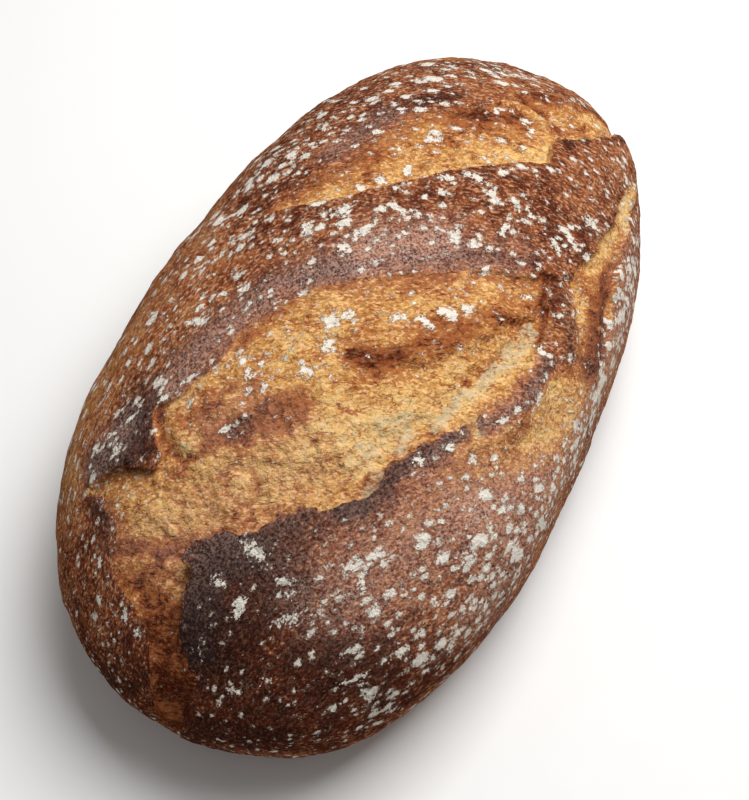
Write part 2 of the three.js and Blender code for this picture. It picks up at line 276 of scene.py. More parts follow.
OPEN_MARKS = (
    (((10, 26), (14, 17), (22, 9), (32, 0), (42, -12), (49, -19)), 2.8, -0.15),
    (((14, 28), (26, 20), (40, 15), (54, 8), (64, 1)), 6.0, 0.15),
    (((54, 12), (57, 5), (58, -1)), 2.2, 0.16),
    (((57, -1), (62, 2), (70, 0)), 2.0, 0.16),
    (((52, 4), (60, -5), (68, -11)), 5.0, 0.17),
    (((76, -6), (80, -12), (85, -20)), 3.6, 0.34),
    (((76, -12), (79, -20), (82, -28)), 2.4, 0.16),
    (((62, -1), (66, -3.5), (68.5, -7.5), (67, -12), (64, -16), (60, -18.5)), 1.5, -0.13),
    (((66, 1.5), (70.5, -3.5), (72.5, -9), (71, -14), (67, -18.5)), 1.5, 0.15),
    (((74, -10), (78, -16), (82, -22), (86, -29)), 2.2, -0.12),
    (((59, -4), (62, -8), (61, -13), (57, -16)), 4.0, 0.12),
    (((64, -18), (68, -22), (73, -26)), 2.4, 0.22),
    (((64, -9), (72, -12), (80, -14)), 6.0, 0.08),
    (((-6, -30), (4, -30.5)), 4.0, 0.07),
    (((-44, -17), (-38, -18.2)), 1.4, 0.32),
    (((51, -18), (55, -18.5)), 2.4, -0.12),
    (((-30, 17), (-18, 14), (-8, 8), (-1, 0), (6, -11), (13, -22), (21, -34)), 2.4, 0.15),
    (((-38, 14), (-25, 12), (-12, 6), (-4, -1)), 5.0, -0.02),
    (((12, -20), (18, -28)), 4.0, -0.06),
    (((64, -50), (52, -48.5), (43, -48)), 1.8, -0.22),
    (((-49, 13.5), (-46.5, 11), (-44, 9), (-41.5, 7.5)), 2.0, 0.34),
    (((-41, 7), (-38, 5), (-35, 3), (-31, 0.5)), 3.0, 0.20),
    (((-44, 6), (-40, 3), (-35, 1)), 3.4, 0.17),
    (((-46, 18), (-40, 15), (-34, 11)), 5.0, 0.17),
    (((-18.5, -4), (-16.5, -9), (-14.5, -12.5)), 1.7, 0.26),
    (((-17, -8), (-14, -12), (-9, -16.5), (-4.5, -21), (0.5, -25), (6, -28.5), (10, -31.5),
      (15, -34.5)), 4.4, 0.22),
    (((-48.5, 13.5), (-50.3, 16), (-49.5, 18.5), (-47.5, 21), (-44.5, 23.2), (-40, 22),
      (-36, 19)), 1.6, -0.14),
    (((-51.5, 16), (-50.5, 14.5)), 1.3, -0.22),
    (((-44.5, 26.5), (-47.2, 24.8), (-50, 22), (-52.5, 19.5), (-53.5, 17), (-52.8, 14.3),
      (-50.5, 12.5)), 1.1, 0.24),
    (((-54, 22), (-56.5, 19), (-55.5, 15.5)), 2.6, 0.16),
    (((22, -33.5), (16.5, -35), (12, -38), (7, -39.5)), 1.0, 0.35),
    (((-30, -14), (-20, -18)), 6.0, -0.10),
    (((-38, -16), (-32, -17), (-26, -18.5)), 3.4, -0.16),
    (((-22, -24), (-14, -29)), 3.0, -0.10),
    (((28, -48), (20, -52)), 4.0, 0.24),
    (((17, -55), (9, -51)), 4.0, 0.12),
    (((-120, -1), (-100, 2)), 9.0, 0.12),
    (((4, -14), (-4, -8)), 6.0, 0.02),
    (((-58, 23), (-61, 27), (-67, 33)), 2.2, 0.24),
    (((-52, -9), (-44, -14), (-37, -15), (-30, -17), (-24, -21)), 4.0, -0.06),
    (((-14, -31), (-10, -34), (-5, -36), (3, -38.5)), 3.0, -0.14),
    (((-27, -24.5), (-25, -26.5)), 0.6, 0.30),
    (((-31, -21.5), (-33, -20.5)), 0.6, 0.30),
    (((-41, -17.5), (-38, -17.5)), 0.6, 0.26),
    (((-13, -27.6), (-12, -28.6)), 0.7, 0.40),
    (((-90, 14), (-97, 7), (-110, 0), (-142, 0)), 11.0, 0.22),
    (((-112, 0), (-145, -1)), 12.0, 0.14),
    (((-145, -6), (-150, -2), (-145, 3)), 5.0, 0.26),
    (((-128, 1), (-138, -1)), 6.0, -0.15),
    (((-78, 19), (-76, 12), (-73, 9)), 3.0, 0.20),
    (((-94, 6), (-84, 7), (-76, 9), (-69, 6), (-63, 0), (-55, -5)), 2.4, 0.14),
    (((3.5, -51), (-2.5, -53.5), (-8, -54), (-14, -52), (-20, -47.5)), 5.0, -0.05),
    (((-12, -46.5), (-18, -43)), 2.4, 0.14),
    (((-64, 12), (-58, 4), (-48, 0)), 8.0, -0.03),
    (((-24, -46), (-30, -40), (-34, -33)), 5.0, 0.14),
    (((14, -57), (15.5, -60.5), (20.5, -58.5), (26, -55), (31, -51.5), (36, -48.5), (44, -48),
      (56, -49)), 3.0, 0.44),
    (((16, -50.5), (20, -47.5), (25, -46)), 1.8, -0.14),
    (((34, -43.5), (44, -46), (54, -47), (66, -47)), 2.4, -0.26),
    (((28, -42), (33, -43)), 2.6, 0.10),
    (((22, -49), (25, -50)), 3.0, 0.16),
    (((-80, 30), (-84, 26), (-82, 22)), 3.0, 0.22),
)
PALE_MARKS = (
    (((-24, -25.5), (-18.5, -27.5), (-14.5, -29)), 1.7, 1.0),
    (((-12, -31.5), (-7.5, -32.5), (-2.5, -34.5), (3, -35.5), (8, -36.5)), 2.4, 0.82),
    (((-31, -20.5), (-28, -21.5)), 2.2, 1.0),
    (((-44, -18.5), (-41, -19), (-38, -18)), 1.6, 0.8),
    (((-20, -35.8), (-21, -34.8)), 1.8, 0.8),
)
CHARCOAL_MARKS = (
    (((-98, -4), (-92, -1), (-86, -1), (-76, 1), (-68, -3)), 4.4, 1.10),
    (((-82, -6), (-72, -9)), 5.0, 0.16),
    (((-66, -5.5), (-56, -10.5), (-47, -19)), 2.8, 0.50),
    (((-50, -16), (-43, -21), (-37, -22), (-31, -26), (-24, -31), (-20, -33)), 2.0, 0.78),
    (((-48, 13), (-44.5, 9), (-40, 6)), 2.4, 0.35),
    (((-20, -35.5), (-12, -40.5), (-4, -43), (3, -43.5)), 2.6, 0.45),
    (((11, -47), (15, -43.5), (20, -39)), 3.2, 0.50),
    (((-62, 36), (-45, 33), (-25, 25), (-10, 18), (-2, 9)), 7.0, 0.40),
    (((61, -22), (66, -27), (76, -32), (88, -37)), 2.8, 0.42),
    (((-50, 31), (-56, 28), (-60, 31), (-66, 36)), 5.0, 0.55),
    (((-76, 27), (-73, 32)), 3.0, 0.60),
)
# Film of flour that is partly painted sheen of light, most of all at the first and the fourth mark
DUST_AND_SHEEN_MARKS = (
    (((6, 2), (10, -5), (13, -9)), 6.0, 0.78),
    (((-40, 26), (-22, 21), (-8, 14), (0, 5)), 4.5, 0.55),
    (((14, -20), (20, -24)), 5.0, 0.3),
    (((-66, -24), (-52, -31), (-34, -40)), 12.0, 0.50),
    (((-60, -62), (-20, -66), (20, -68), (50, -62)), 14.0, 0.46),
    (((-75, 12), (-58, 4), (-42, -4)), 11.0, 0.42),
    (((-36, -46), (-22, -53)), 9.0, 0.25),
    (((-46, 14), (-36, 9)), 5.0, 0.33),
    (((-66, 36), (-52, 32)), 5.0, 0.40),
    (((30, 26), (46, 20)), 4.0, 0.35),
    (((-36, -25), (-24, -31)), 2.4, 0.20),
    (((-19, -36), (-8, -42), (2, -43.5)), 3.0, 0.35),
)
FLOUR_MARKS = (
    (((-66, -60), (-30, -66), (10, -68), (50, -60)), 13.0, 0.34),
    (((-96, -46), (-72, -56)), 10.0, 0.15),
    (((-78, -30), (-50, -40), (-30, -52)), 14.0, 0.12),
    (((-60, 44), (-30, 40), (0, 38)), 9.0, 0.14),
    (((8, 42), (30, 36), (50, 29), (70, 18), (90, 4)), 9.0, 0.30),
    (((80, 22), (100, 8), (108, -6)), 12.0, 0.22),
    (((2, 22), (12, 8), (22, -8), (28, -22), (34, -32), (44, -36)), 9.0, 0.11),
    (((-26, 6), (-12, -3), (-2, -17)), 6.0, 0.14),
    (((24, 14), (38, 6), (52, -4), (64, -10)), 8.0, 0.12),
    (((36, -60), (60, -54), (70, -44)), 8.0, 0.32),
    (((2, -72), (26, -68)), 8.0, 0.28),
    (((-36, -46), (-24, -52)), 8.0, 0.22),
    (((-95, 42), (-125, 20)), 12.0, -0.20),
    (((-70, 10), (-56, 6), (-40, -6), (-24, -14)), 12.0, -0.45),
    (((-142, 0), (-108, 2), (-92, 10), (-80, 14)), 8.0, -0.45),
    (((-20, -30), (0, -34), (8, -36)), 5.0, -0.40),
    (((-24, -48), (-10, -55), (4, -55)), 5.0, -0.40),
    (((16, -58), (24, -50), (40, -46), (60, -48)), 4.5, -0.40),
    (((-50, -14), (-30, -22)), 5.0, -0.45),
    (((-96, -14), (-116, -22), (-140, -8)), 15.0, -0.22),
    (((-86, -6), (-74, -10)), 10.0, -0.18),
)

# Larger smears of flour: u, v, their reach along and across, and their direction in degrees
SMEARS = (
    (-66.5, -5.5, 7, 4, -95), (-77, -2, 5, 3.6, -60), (-78.5, -7, 4, 2.5, -40), (-78, -10.5, 3.5, 2.5, 0),
    (-82, -7.5, 3.5, 2.5, -20), (-69.5, -12.5, 5, 3, -60), (-72, -15.5, 6, 4, -60),
    (-79, -16.5, 14, 3.2, -36), (-97.5, -4.5, 6, 3.2, -36), (-105.5, -14.5, 7, 3.6, -50),
    (-97.5, -19, 5, 3, -50), (-59.5, -22.5, 8, 2.6, -63), (-55, -26, 6, 3.6, -63), (-63, -26, 5, 2.6, 26),
    (-65.5, -29, 5, 3, -60), (-69.5, -43.5, 3.6, 3, 0), (-77, -41.5, 6, 4, 20), (-80, -31, 11, 3, -18),
    (-88, -35, 11, 3, -50), (-48, -46, 7, 5, -60), (-41.5, -49, 4, 3, 0), (-41.5, -59.5, 6, 4, -60),
    (-60, -60, 6, 3.4, 20), (-75, -56, 8, 3.6, 30), (-63.5, -46, 6, 3, -20), (-48, -68, 9, 3, 26),
    (11, 19, 6, 3, -50), (11, 12.5, 4.5, 4, 0), (4.5, 17.5, 6, 4, 20), (8.5, 6.5, 9, 3, -25),
    (17, 3, 6, 2.6, -95), (26, -4.5, 3.6, 2.5, -63), (32.5, -7, 4, 2, -110), (32.5, -9.5, 4.5, 3.5, 0),
    (29.5, -14, 8, 2, -95), (16.5, -11, 4.5, 4, 0), (17, -15.5, 5, 3, -60), (24.5, -19.5, 4, 3, 0),
    (34, -34, 6, 3, -95), (43, -37, 7, 4, -80), (29.5, -32.5, 6, 2.6, -95), (3, 8, 5, 3, -95),
    (0, 32, 6, 2.6, -50), (7, 44, 8, 2, -45), (-9, 40, 7, 2, -40), (-24, 29, 7, 3, -60),
    (-13, 23.5, 4, 3.5, 0), (-17.5, 32, 3, 2.4, 0), (-16, 28, 4, 1.8, -60), (43, 8, 4, 4, 0),
    (31.5, 8, 4, 3, 0), (21, 15, 5, 2.6, -90), (25, 12, 5, 2.6, -60), (62, -3, 4, 3, 0),
    (60.5, -13.5, 4, 3, -60), (47, -12, 2.6, 2, 0), (68, -15, 3, 2.2, 0), (75.5, -20.5, 3, 2.6, 0),
    (-13.5, 2.5, 5, 5, 0), (-18.5, 0.5, 5.5, 3, 20), (-11, 0, 4, 2.6, -60), (-7, -8.5, 6, 3, -63),
    (-5, -13, 4, 2, -63), (-5.5, -15, 5, 2, -100), (-0.5, -17, 5, 2, -40), (2, -21, 5, 2.4, -95),
    (-2, -19.5, 4, 2, -63), (-31, 11, 4, 3, -100), (-33, 7.5, 4, 2, 26), (-26, 2, 4, 3, -60),
    (-34.5, 10, 3, 2, 0), (14, -31, 4, 2.4, -60), (5, -41, 4, 3.4, 26), (-5.5, -45.5, 5.5, 2.8, 26),
    (-16, -39, 4, 1.8, -40), (-12, -41, 3.6, 2, -40), (-22.5, -31, 3, 1.6, 20), (-27.5, -29.5, 4, 2, -50),
    (-33.5, -25, 4, 3, -50), (-44, 10, 3, 1.6, -40), (-40, 8, 2.4, 2, 0), (-42.5, 25.8, 5, 1.6, -30),
    (-37, 22.5, 7, 1.5, -30), (-50, 32, 8, 1.8, -36), (-56, 35, 8, 1.8, -36), (-62, 37, 8, 1.8, -36),
    (-50, 37, 6, 1.8, -45), (-88, 25.5, 5, 2.6, 26), (-99.5, 23.5, 5, 2.2, 10), (-100, 16, 6, 3, -60),
    (-103, 12.5, 6, 3, -100), (-117, 15, 5, 3, -60), (-122, 8.5, 5, 2.4, -100), (-123, 6, 4, 2, -95),
)

# Larger blisters in the torn crumb: u, v and radius
BLISTERS = (
    (-86.5, 9.5, 5.0), (-79.5, 8, 3.4), (-96, 14, 4.0), (-91.5, 5.5, 3.0), (-81.5, 15, 3.0), (-106, 6, 3.4),
    (-54, 3, 3.4),
)

# ---------------------------------------------------------------- relief of crust and crumb
# Layers of smooth noise: height in millimetres, size across and seed
CRUST_SWELLS = ((0.9, 34, 31), (0.45, 13, 32))
LONG_WRINKLES = ((0.30, 4.2, 33),)
SHORT_WRINKLES = ((0.16, 2.1, 34),)
CRUMB_LUMPS = ((0.8, 12, 41), (0.5, 5.5, 42), (0.30, 2.6, 43))
BUBBLE_BEND = ((0.8, 6, 46),)
CRUMB_BUBBLES = ((0.45, 5.0, 44), (0.22, 2.6, 45))   # the first are bent by the layer above
WRINKLE_STRETCH = (0.45, 1, 1)   # the long wrinkles are drawn out along the loaf
CRUMB_EDGE = (-0.4, 1.2)         # the crumb's relief begins and is full at these depths inside an opening
CRUST_LOST = 0.5                 # share of the crust's relief that is lost under open crumb
BLISTER_HEIGHT = 0.5
CREASE = (0.4, 0.7)              # how far outside a blister the crease lies, and its width
RELIEF_FADES = 1.12              # from this many times the waist's fall, the relief fades towards the foot

# How edges wander sideways: amount and size, with a set of seeds for each way on the map
WANDER = ((0.7, 11), (0.9, 4), (0.55, 1.8))
WANDER_SEEDS = (11, 21)
CLEAN_WANDER = 0.2               # share of it at clean cuts
TEAR_REACH = 15.0                # how far from a torn line the wander falls to that

MARK_LIMIT = 2.6                 # a mark or a ridge ends for certain at this many times its spread
SMEAR_THINNING = 2.1             # how fast a smear of flour thins out on the way to its reach
FAR = 99.0                       # stands for any distance that is beyond every reach

# ---------------------------------------------------------------- finish
SLASH_TURN = np.radians(-44)     # the way the slashes run, from above
SLASH_BEND = 0.0032              # and how they bend
CRUMB_TURN = np.radians(-62)     # the way the torn crumb is drawn out

# How far the loaf is baked, from 0 for pale crumb to 1 for charred: over crust, over open crumb and at most
# over open crumb, and the steps of the colours
CRUST_BAKE = 0.655
OPEN_BAKE = 0.32
MOST_OPEN_BAKE = 0.84
BAKE_STEPS = (0, 0.15, 0.30, 0.42, 0.55, 0.68, 0.82, 1)

# Clumps of flour: how far apart, how much more of them than the density says, and the radius of the largest
FLOUR_CLUMPS = ((7.5, 0.28, 3.0), (4.4, 0.36, 2.2), (2.8, 0.46, 1.25))

# ---------------------------------------------------------------- the stage, in metres
CAMERA_TARGET = Vector((-0.00618, -0.00559, 0.030))
KEY_LIGHT = Vector((0.30, -0.13, 0.80))
LIGHT_TARGET = (0, 0, 0.04)
LIGHT_SIZE = 0.6


# ---------------------------------------------------------------- smooth noise, the same on every run
CELL_SHIFT = 4096                # makes the cells' numbers positive
AXIS_FACTORS = (73856093, 19349663, 83492791)
SEED_FACTOR = 2654435
FIRST_SEED = 977
MIXING = ((13, 1274126177), (15, 2246822519))   # shift and factor of each round
LAST_SHIFT = 16
LARGEST = 0xFFFFFFFF
LUMP_GAIN = 1.9                  # brings the lumps to about -1 to 1


def hashed(cells, seed):
    """A fixed random number from 0 to 1 for each whole-numbered cell (n, 3)."""
    shifted = (cells + CELL_SHIFT).astype(np.uint64)
    mixed = np.uint64(seed * SEED_FACTOR + FIRST_SEED)
    for axis, factor in enumerate(AXIS_FACTORS):
        mixed = mixed ^ shifted[:, axis] * factor
    for shift, factor in MIXING:
        mixed = (mixed ^ mixed >> np.uint64(shift)) * factor & np.uint64(LARGEST)
    return (mixed ^ mixed >> np.uint64(LAST_SHIFT)).astype(float) / LARGEST


def hashed_places(cells, seed):
    """A fixed random place, from 0 to 1 each way, for each cell."""
    return np.stack([hashed(cells, seed * 3 + axis) for axis in range(3)], axis=1)


def lumps(points, size, seed):
    """Smooth noise, about -1 to 1, with lumps about size across."""
    scaled = points / size
    cell = np.floor(scaled).astype(np.int64)
    inside = scaled - cell
    ease = inside ** 3 * (inside * (inside * 6 - 15) + 10)
    total = np.zeros(len(points))
    for corner in itertools.product((0, 1), repeat=3):
        slope = hashed_places(cell + corner, seed) * 2 - 1
        weight = np.prod(np.where(corner, ease, 1 - ease), axis=1)
        total += weight * ((inside - corner) * slope).sum(axis=1)
    return total * LUMP_GAIN


def bubbles(points, size, seed):
    """Rounded domes about size across, 1 in the middle of each and 0 where they meet."""
    scaled = points / size
    cell = np.floor(scaled).astype(np.int64)
    first = np.full(len(points), FAR)
    second = first.copy()
    for offset in itertools.product((-1, 0, 1), repeat=3):
        here = cell + offset
        distance = np.linalg.norm(scaled - (here + hashed_places(here, seed)), axis=1)
        second = np.minimum(second, np.maximum(first, distance))
        first = np.minimum(first, distance)
    return np.clip(1 - (first / (first + second) * 2) ** 2, 0, 1)


def layered(points, layers):
    """The sum of layers of lumps, each with its height, size and seed."""
    return sum(height * lumps(points, size, seed) for height, size, seed in layers)


def smooth(x, low, high):
    """0 up to low, 1 from high, and a smooth step between them."""
    t = np.clip((x - low) / (high - low), 0, 1)
    return t * t * (3 - 2 * t)


def bell(x):
    """1 at 0, falling smoothly to nothing on both sides."""
    return np.exp(-x * x)


def beside(distance, spread):
    """1 on a line, falling to nothing over spread on each side of it."""
    return bell(np.where(np.isinf(distance), FAR, distance / spread))


def spread_along(values, along):
    """A value that changes evenly along a line: a number, or a tuple of numbers from its start to its end."""
    values = np.atleast_1d(values)
    return np.interp(along, np.linspace(0, 1, len(values)), values)


# ---------------------------------------------------------------- lines on the crust map
LINE_STEP = 1.2
POINTS_AT_ONCE = 20000           # measured together, to use less memory


class Line:
    """A smooth line on the crust map through a few points."""

    def __init__(self, points, closed=False):
        knots = np.array(points, float)
        if closed:
            before, after = knots[-1:], knots[:2]
        else:
            before, after = 2 * knots[:1] - knots[1:2], 2 * knots[-1:] - knots[-2:-1]
        p = np.concatenate((before, knots, after))
        path = []
        for a, b, c, d in zip(p, p[1:], p[2:], p[3:]):
            steps = max(2, int(np.ceil(np.linalg.norm(c - b) / LINE_STEP)))
            t = np.arange(steps)[:, None] / steps
            path.append(b + 0.5 * t * (c - a + t * (2 * a - 5 * b + 4 * c - d + t * (3 * (b - c) + d - a))))
        self.path = np.concatenate(path + [p[-3:-2] if closed else knots[-1:]])
        if closed:
            self.path[-1] = self.path[0]

    def measure(self, points, reach):
        """How far points are from the line, positive on its left, how far along it, and its way there.

        A point further off than reach gets an infinite distance."""
        low = self.path.min(axis=0) - reach
        high = self.path.max(axis=0) + reach
        near = np.flatnonzero(((points > low) & (points < high)).all(axis=1))
        distance = np.full(len(points), np.inf)
        along = np.zeros(len(points))
        way = np.zeros((len(points), 2))
        run = np.diff(self.path, axis=0)
        run_squared = (run ** 2).sum(axis=1)
        for part in np.array_split(near, len(near) // POINTS_AT_ONCE + 1):
            offset = points[part, None] - self.path[:-1]
            t = np.clip((offset * run).sum(axis=2) / run_squared, 0, 1)
            gap = np.linalg.norm(offset - t[..., None] * run, axis=2)
            best = gap.argmin(axis=1)
            rows = np.arange(len(part))
            step = run[best]
            turned = step[:, 0] * offset[rows, best, 1] - step[:, 1] * offset[rows, best, 0]
            distance[part] = gap[rows, best] * np.where(turned < 0, -1, 1)
            along[part] = (best + t[rows, best]) / len(run)
            way[part] = step / np.linalg.norm(step, axis=1, keepdims=True)
        distance[np.abs(distance) > reach] = np.inf
        return distance, along, way

    def inside(self, points):
        """Whether the points are inside the closed line."""
        odd = np.zeros(len(points), bool)
        for a, b in zip(self.path, self.path[1:]):
            if a[1] != b[1]:
                crossed = (a[1] > points[:, 1]) != (b[1] > points[:, 1])
                odd ^= crossed & (points[:, 0] < a[0] + (points[:, 1] - a[1]) * (b[0] - a[0]) / (b[1] - a[1]))
        return odd


def left_of(way):
    """The way to the left of each way on the map."""
    return np.stack((-way[:, 1], way[:, 0]), axis=1)


# ---------------------------------------------------------------- the unslashed loaf, in millimetres
def super_oval(a, b, power):
    """How far it is to an oval's edge, in the direction of a and b: an ellipse at power 2, squarer above."""
    return (np.abs(a) ** power + np.abs(b) ** power) ** (-1 / power)


def outline(turn):
    """The plan's outline at the waist, by the turn round the crown."""
    c, s = np.cos(turn), np.sin(turn)
    waves = 1 + sum(a * np.cos(times * turn) + b * np.sin(times * turn) for times, a, b in LOBES)
    r = super_oval(c, s, OUTLINE_POWER) * waves
    return HALF[0] * r * c, HALF[1] * r * s * (1 + EGG_TAPER * r * c)


def plan_middle():
    """The middle of the outline's length and width."""
    x, y = outline(np.linspace(0, 2 * np.pi, OUTLINE_POINTS))
    return np.array(((x.min() + x.max()) / 2, (y.min() + y.max()) / 2, 0))


MIDDLE = plan_middle()


def loaf_points(where):
    """The unslashed loaf at places on the crust map: a dome, a side that curls in, and a flat base."""
    along, across = (where / HALF).T
    turn = np.arctan2(across, along)
    fall = np.hypot(along, across) * SIDE
    x, y = outline(turn)
    s, c = np.sin(fall), np.cos(fall)
    dome = super_oval(s, c, DOME_POWER)
    curl = np.clip((fall - SIDE) / (FOOT - SIDE), 0, 1) * np.pi / 2
    lower = FOOT_SHARE + (1 - FOOT_SHARE) * np.cos(curl)
    above = fall <= SIDE
    share = np.where(above, dome * s, lower)
    z = np.where(above, WAIST_HEIGHT + (HEIGHT - WAIST_HEIGHT) * dome * c,
                 WAIST_HEIGHT - (WAIST_HEIGHT + BASE_CUT) * np.sin(curl))
    return np.stack((x * share, y * share, z), axis=1) - MIDDLE


def outward(where):
    """The unslashed loaf's outward normals for places on the crust map."""
    along = loaf_points(where + (NORMAL_STEP, 0)) - loaf_points(where - (NORMAL_STEP, 0))
    across = loaf_points(where + (0, NORMAL_STEP)) - loaf_points(where - (0, NORMAL_STEP))
    normal = np.cross(along, across)
    return normal / np.linalg.norm(normal, axis=1, keepdims=True)


# ---------------------------------------------------------------- the torn and slashed surface
# The middle of the tear, and the ear: edges are ragged near these lines
TORN_LINES = [Line(points) for points in (
    ((-140, 0), (-100, 4), (-70, 12), (-40, -6), (0, -32), (30, -45), (60, -50)),
    ((60, -22), (72, -30), (84, -35), (100, -40)),
)]
EDGE_LINES = [Line(edge["line"]) for edge in EDGES]


def ragged(where, solid):
    """Places on the map, moved a little for ragged edges: much in the tear, little at clean cuts."""
    distance = np.minimum.reduce([np.abs(line.measure(where, 3 * TEAR_REACH)[0]) for line in TORN_LINES])
    torn = CLEAN_WANDER + (1 - CLEAN_WANDER) * bell(np.minimum(distance, FAR) / TEAR_REACH)
    moved = []
    for seed in WANDER_SEEDS:
        layers = [(amount, size, seed + step) for step, (amount, size) in enumerate(WANDER)]
        moved.append(torn * layered(solid, layers))
    return where + np.stack(moved, axis=1)


def gathered(where):
    """Places on the map, drawn towards the torn edges so that the mesh is finest there."""
    target = ragged(where, loaf_points(where))
    nearest = np.full(len(where), np.inf)
    pull = np.zeros_like(where)
    for line in EDGE_LINES:
        distance, along, way = line.measure(target, GATHER)
        closer = np.abs(distance) < nearest
        d = np.where(closer, distance, 0)
        ends = smooth(np.minimum(along, 1 - along), 0, GATHER_ENDS)
        wanted = np.sign(d) * GATHER * (np.abs(d) / GATHER) ** GATHER_POWER
        move = ((wanted - d) * ends)[:, None] * left_of(way)
        pull[closer] = move[closer]
        nearest[closer] = np.abs(distance[closer])
    return where + pull


def signed_depth(outline_points, target):
    """How far inside a closed outline each place is, in millimetres, and negative outside it."""
    line = Line(outline_points, closed=True)
    gap = np.minimum(np.abs(line.measure(target, OPENING_REACH)[0]), OPENING_REACH)
    return np.where(line.inside(target), gap, -gap)


def opening_depth(target):
    """How far inside an opening each place is, negative on crust, and how far from an island's edge."""
    depth = np.maximum.reduce([signed_depth(points, target) for points in OPENINGS])
    island = np.maximum.reduce([signed_depth(points, target) for points in ISLANDS])
    return np.minimum(depth, -island), np.abs(island)


def marked(marks, target):
    """The sum of a list of marks at each place."""
    total = np.zeros(len(target))
    for points, spread, amount in marks:
        distance = Line(points).measure(target, spread * MARK_LIMIT)[0]
        total += amount * beside(distance, spread)
    return total


def smeared(target):
    """How thick the larger smears of flour lie at each place, 0 to 1."""
    total = np.zeros(len(target))
    for u, v, length, width, degrees in SMEARS:
        turn = np.radians(degrees)
        offset = target - (u, v)
        along = offset @ (np.cos(turn), np.sin(turn))
        across = offset @ (-np.sin(turn), np.cos(turn))
        total = np.maximum(total, bell(np.hypot(along / length, across / width) * SMEAR_THINNING))
    return total


def blistered(target):
    """The larger blisters: 1 on top of each, down to -1 in the crease round it, and 0 away from them."""
    outside, width = CREASE
    total = np.zeros(len(target))
    for u, v, radius in BLISTERS:
        away = np.hypot(*(target - (u, v)).T)
        total += np.clip(1 - (away / radius) ** 2, 0, 1) - bell((away - radius - outside) / width)
    return np.clip(total, -1, 1)


def edge_relief(target):
    """Lift and sink beside the torn edges, how far their lips lean sideways, and how far the nearest is."""
    lift = np.zeros(len(target))
    sink = np.zeros(len(target))
    lean = np.zeros((len(target), 2))
    nearest = np.full(len(target), FAR)
    for edge, line in zip(EDGES, EDGE_LINES):
        distance, along, way = line.measure(target, max(edge["run"], edge["reach"] * LIFT_LIMIT))
        d = np.where(np.isinf(distance), FAR, distance)
        wall = edge.get("wall", WALL)
        past = smooth(d, 0, wall)
        raised = np.where(d > 0, 1 - past, bell(d / edge["reach"]))
        lift = np.maximum(lift, spread_along(edge["lift"], along) * raised)
        sunk = past * (1 - smooth(d, wall, edge["run"]))
        sink = np.maximum(sink, spread_along(edge["drop"], along) * sunk)
        out = np.where(d > 0, 1 - (1 + UNDERCUT) * smooth(d, 0, WALL), bell(d / LEAN_REACH))
        out = out * (1 - smooth(d, WALL, WALL + LEAN_REACH))
        lean += (spread_along(edge["overhang"], along) * out)[:, None] * left_of(way)
        nearest = np.minimum(nearest, np.abs(d))
    return lift, sink, lean, nearest


def ridge_relief(target):
    """Height of the ridges and grooves at each place."""
    total = np.zeros(len(target))
    for ridge in RIDGES:
        distance, along, _ = Line(ridge["line"]).measure(target, ridge["spread"] * MARK_LIMIT)
        total += spread_along(ridge["height"], along) * beside(distance, ridge["spread"])
    return total


def surface_noise(solid, depth, shape):
    """Undulations and small wrinkles of the crust, and the lumps and bubbles of the torn crumb."""
    crumb = smooth(depth, *CRUMB_EDGE)
    wrinkles = layered(solid * WRINKLE_STRETCH, LONG_WRINKLES) + layered(solid, SHORT_WRINKLES)
    crust = layered(solid, CRUST_SWELLS) + shape.wrinkles * wrinkles
    torn = layered(solid, CRUMB_LUMPS)
    bent = solid + layered(solid, BUBBLE_BEND)[:, None]
    for points, (height, size, seed) in zip((bent, solid), CRUMB_BUBBLES):
        torn = torn + height * bubbles(points, size, seed)
    return crust * (1 - CRUST_LOST * crumb) + shape.crumb_relief * torn * crumb


def shaped(where, shape):
    """The baked surface for places on the map, and what its finish needs to know at each point."""
    solid = loaf_points(where)
    target = ragged(where, solid)
    depth, from_island = opening_depth(target)
    lift, sink, lean, from_edge = edge_relief(target)
    blister = blistered(target)
    relief = (shape.lip_lift * lift - shape.tear_depth * sink + ridge_relief(target)
              + surface_noise(solid, depth, shape) + BLISTER_HEIGHT * shape.crumb_relief * blister)
    fall = np.hypot(*(where / HALF).T) * SIDE
    relief = relief * (1 - smooth(fall, SIDE * RELIEF_FADES, FOOT))
    points = loaf_points(where + lean) + outward(where + lean) * relief[:, None]
    points[:, 2] = np.maximum(points[:, 2], 0)
    values = {
        "opening": depth,
        "softness": np.minimum(SHARP + (SOFT - SHARP) * smooth(from_edge, *SOFTENS),
                               RAGGED + (SOFT - RAGGED) * smooth(from_island, *SOFTENS)),
        "crust_bake": marked(CRUST_MARKS, target),
        "open_bake": marked(OPEN_MARKS, target),
        "blister": blister,
        "pale": marked(PALE_MARKS, target),
        "charcoal": marked(CHARCOAL_MARKS, target),
        "dust_and_sheen": marked(DUST_AND_SHEEN_MARKS, target),
        "flour": marked(FLOUR_MARKS, target),
        "smear": smeared(target),
    }
    return points, values


# ---------------------------------------------------------------- the mesh
# A turned square grid over the top, rows down the side from its edge, and rings across the base
def top_grid():
    """Places on the crust map for a square grid over the top, as (rows, columns, 2)."""
    line = np.linspace(-1, 1, CELLS_ACROSS + 1)
    x, y = np.meshgrid(line, line)
    xx, yy = x * x, y * y
    ball_x = x * np.sqrt(0.5 - yy / 6)
    ball_y = y * np.sqrt(0.5 - xx / 6)
    turn = np.arctan2(ball_y, ball_x) + GRID_TURN
    fall = np.arcsin(np.clip(np.hypot(ball_x, ball_y), 0, 1))
    return np.stack((np.cos(turn), np.sin(turn)), axis=2) * (fall / SIDE)[..., None] * HALF


def grid_edge(numbers):
    """The vertex numbers round the edge of a square grid of them."""
    return np.concatenate((numbers[0, :-1], numbers[:-1, -1], numbers[-1, :0:-1], numbers[:0:-1, 0]))


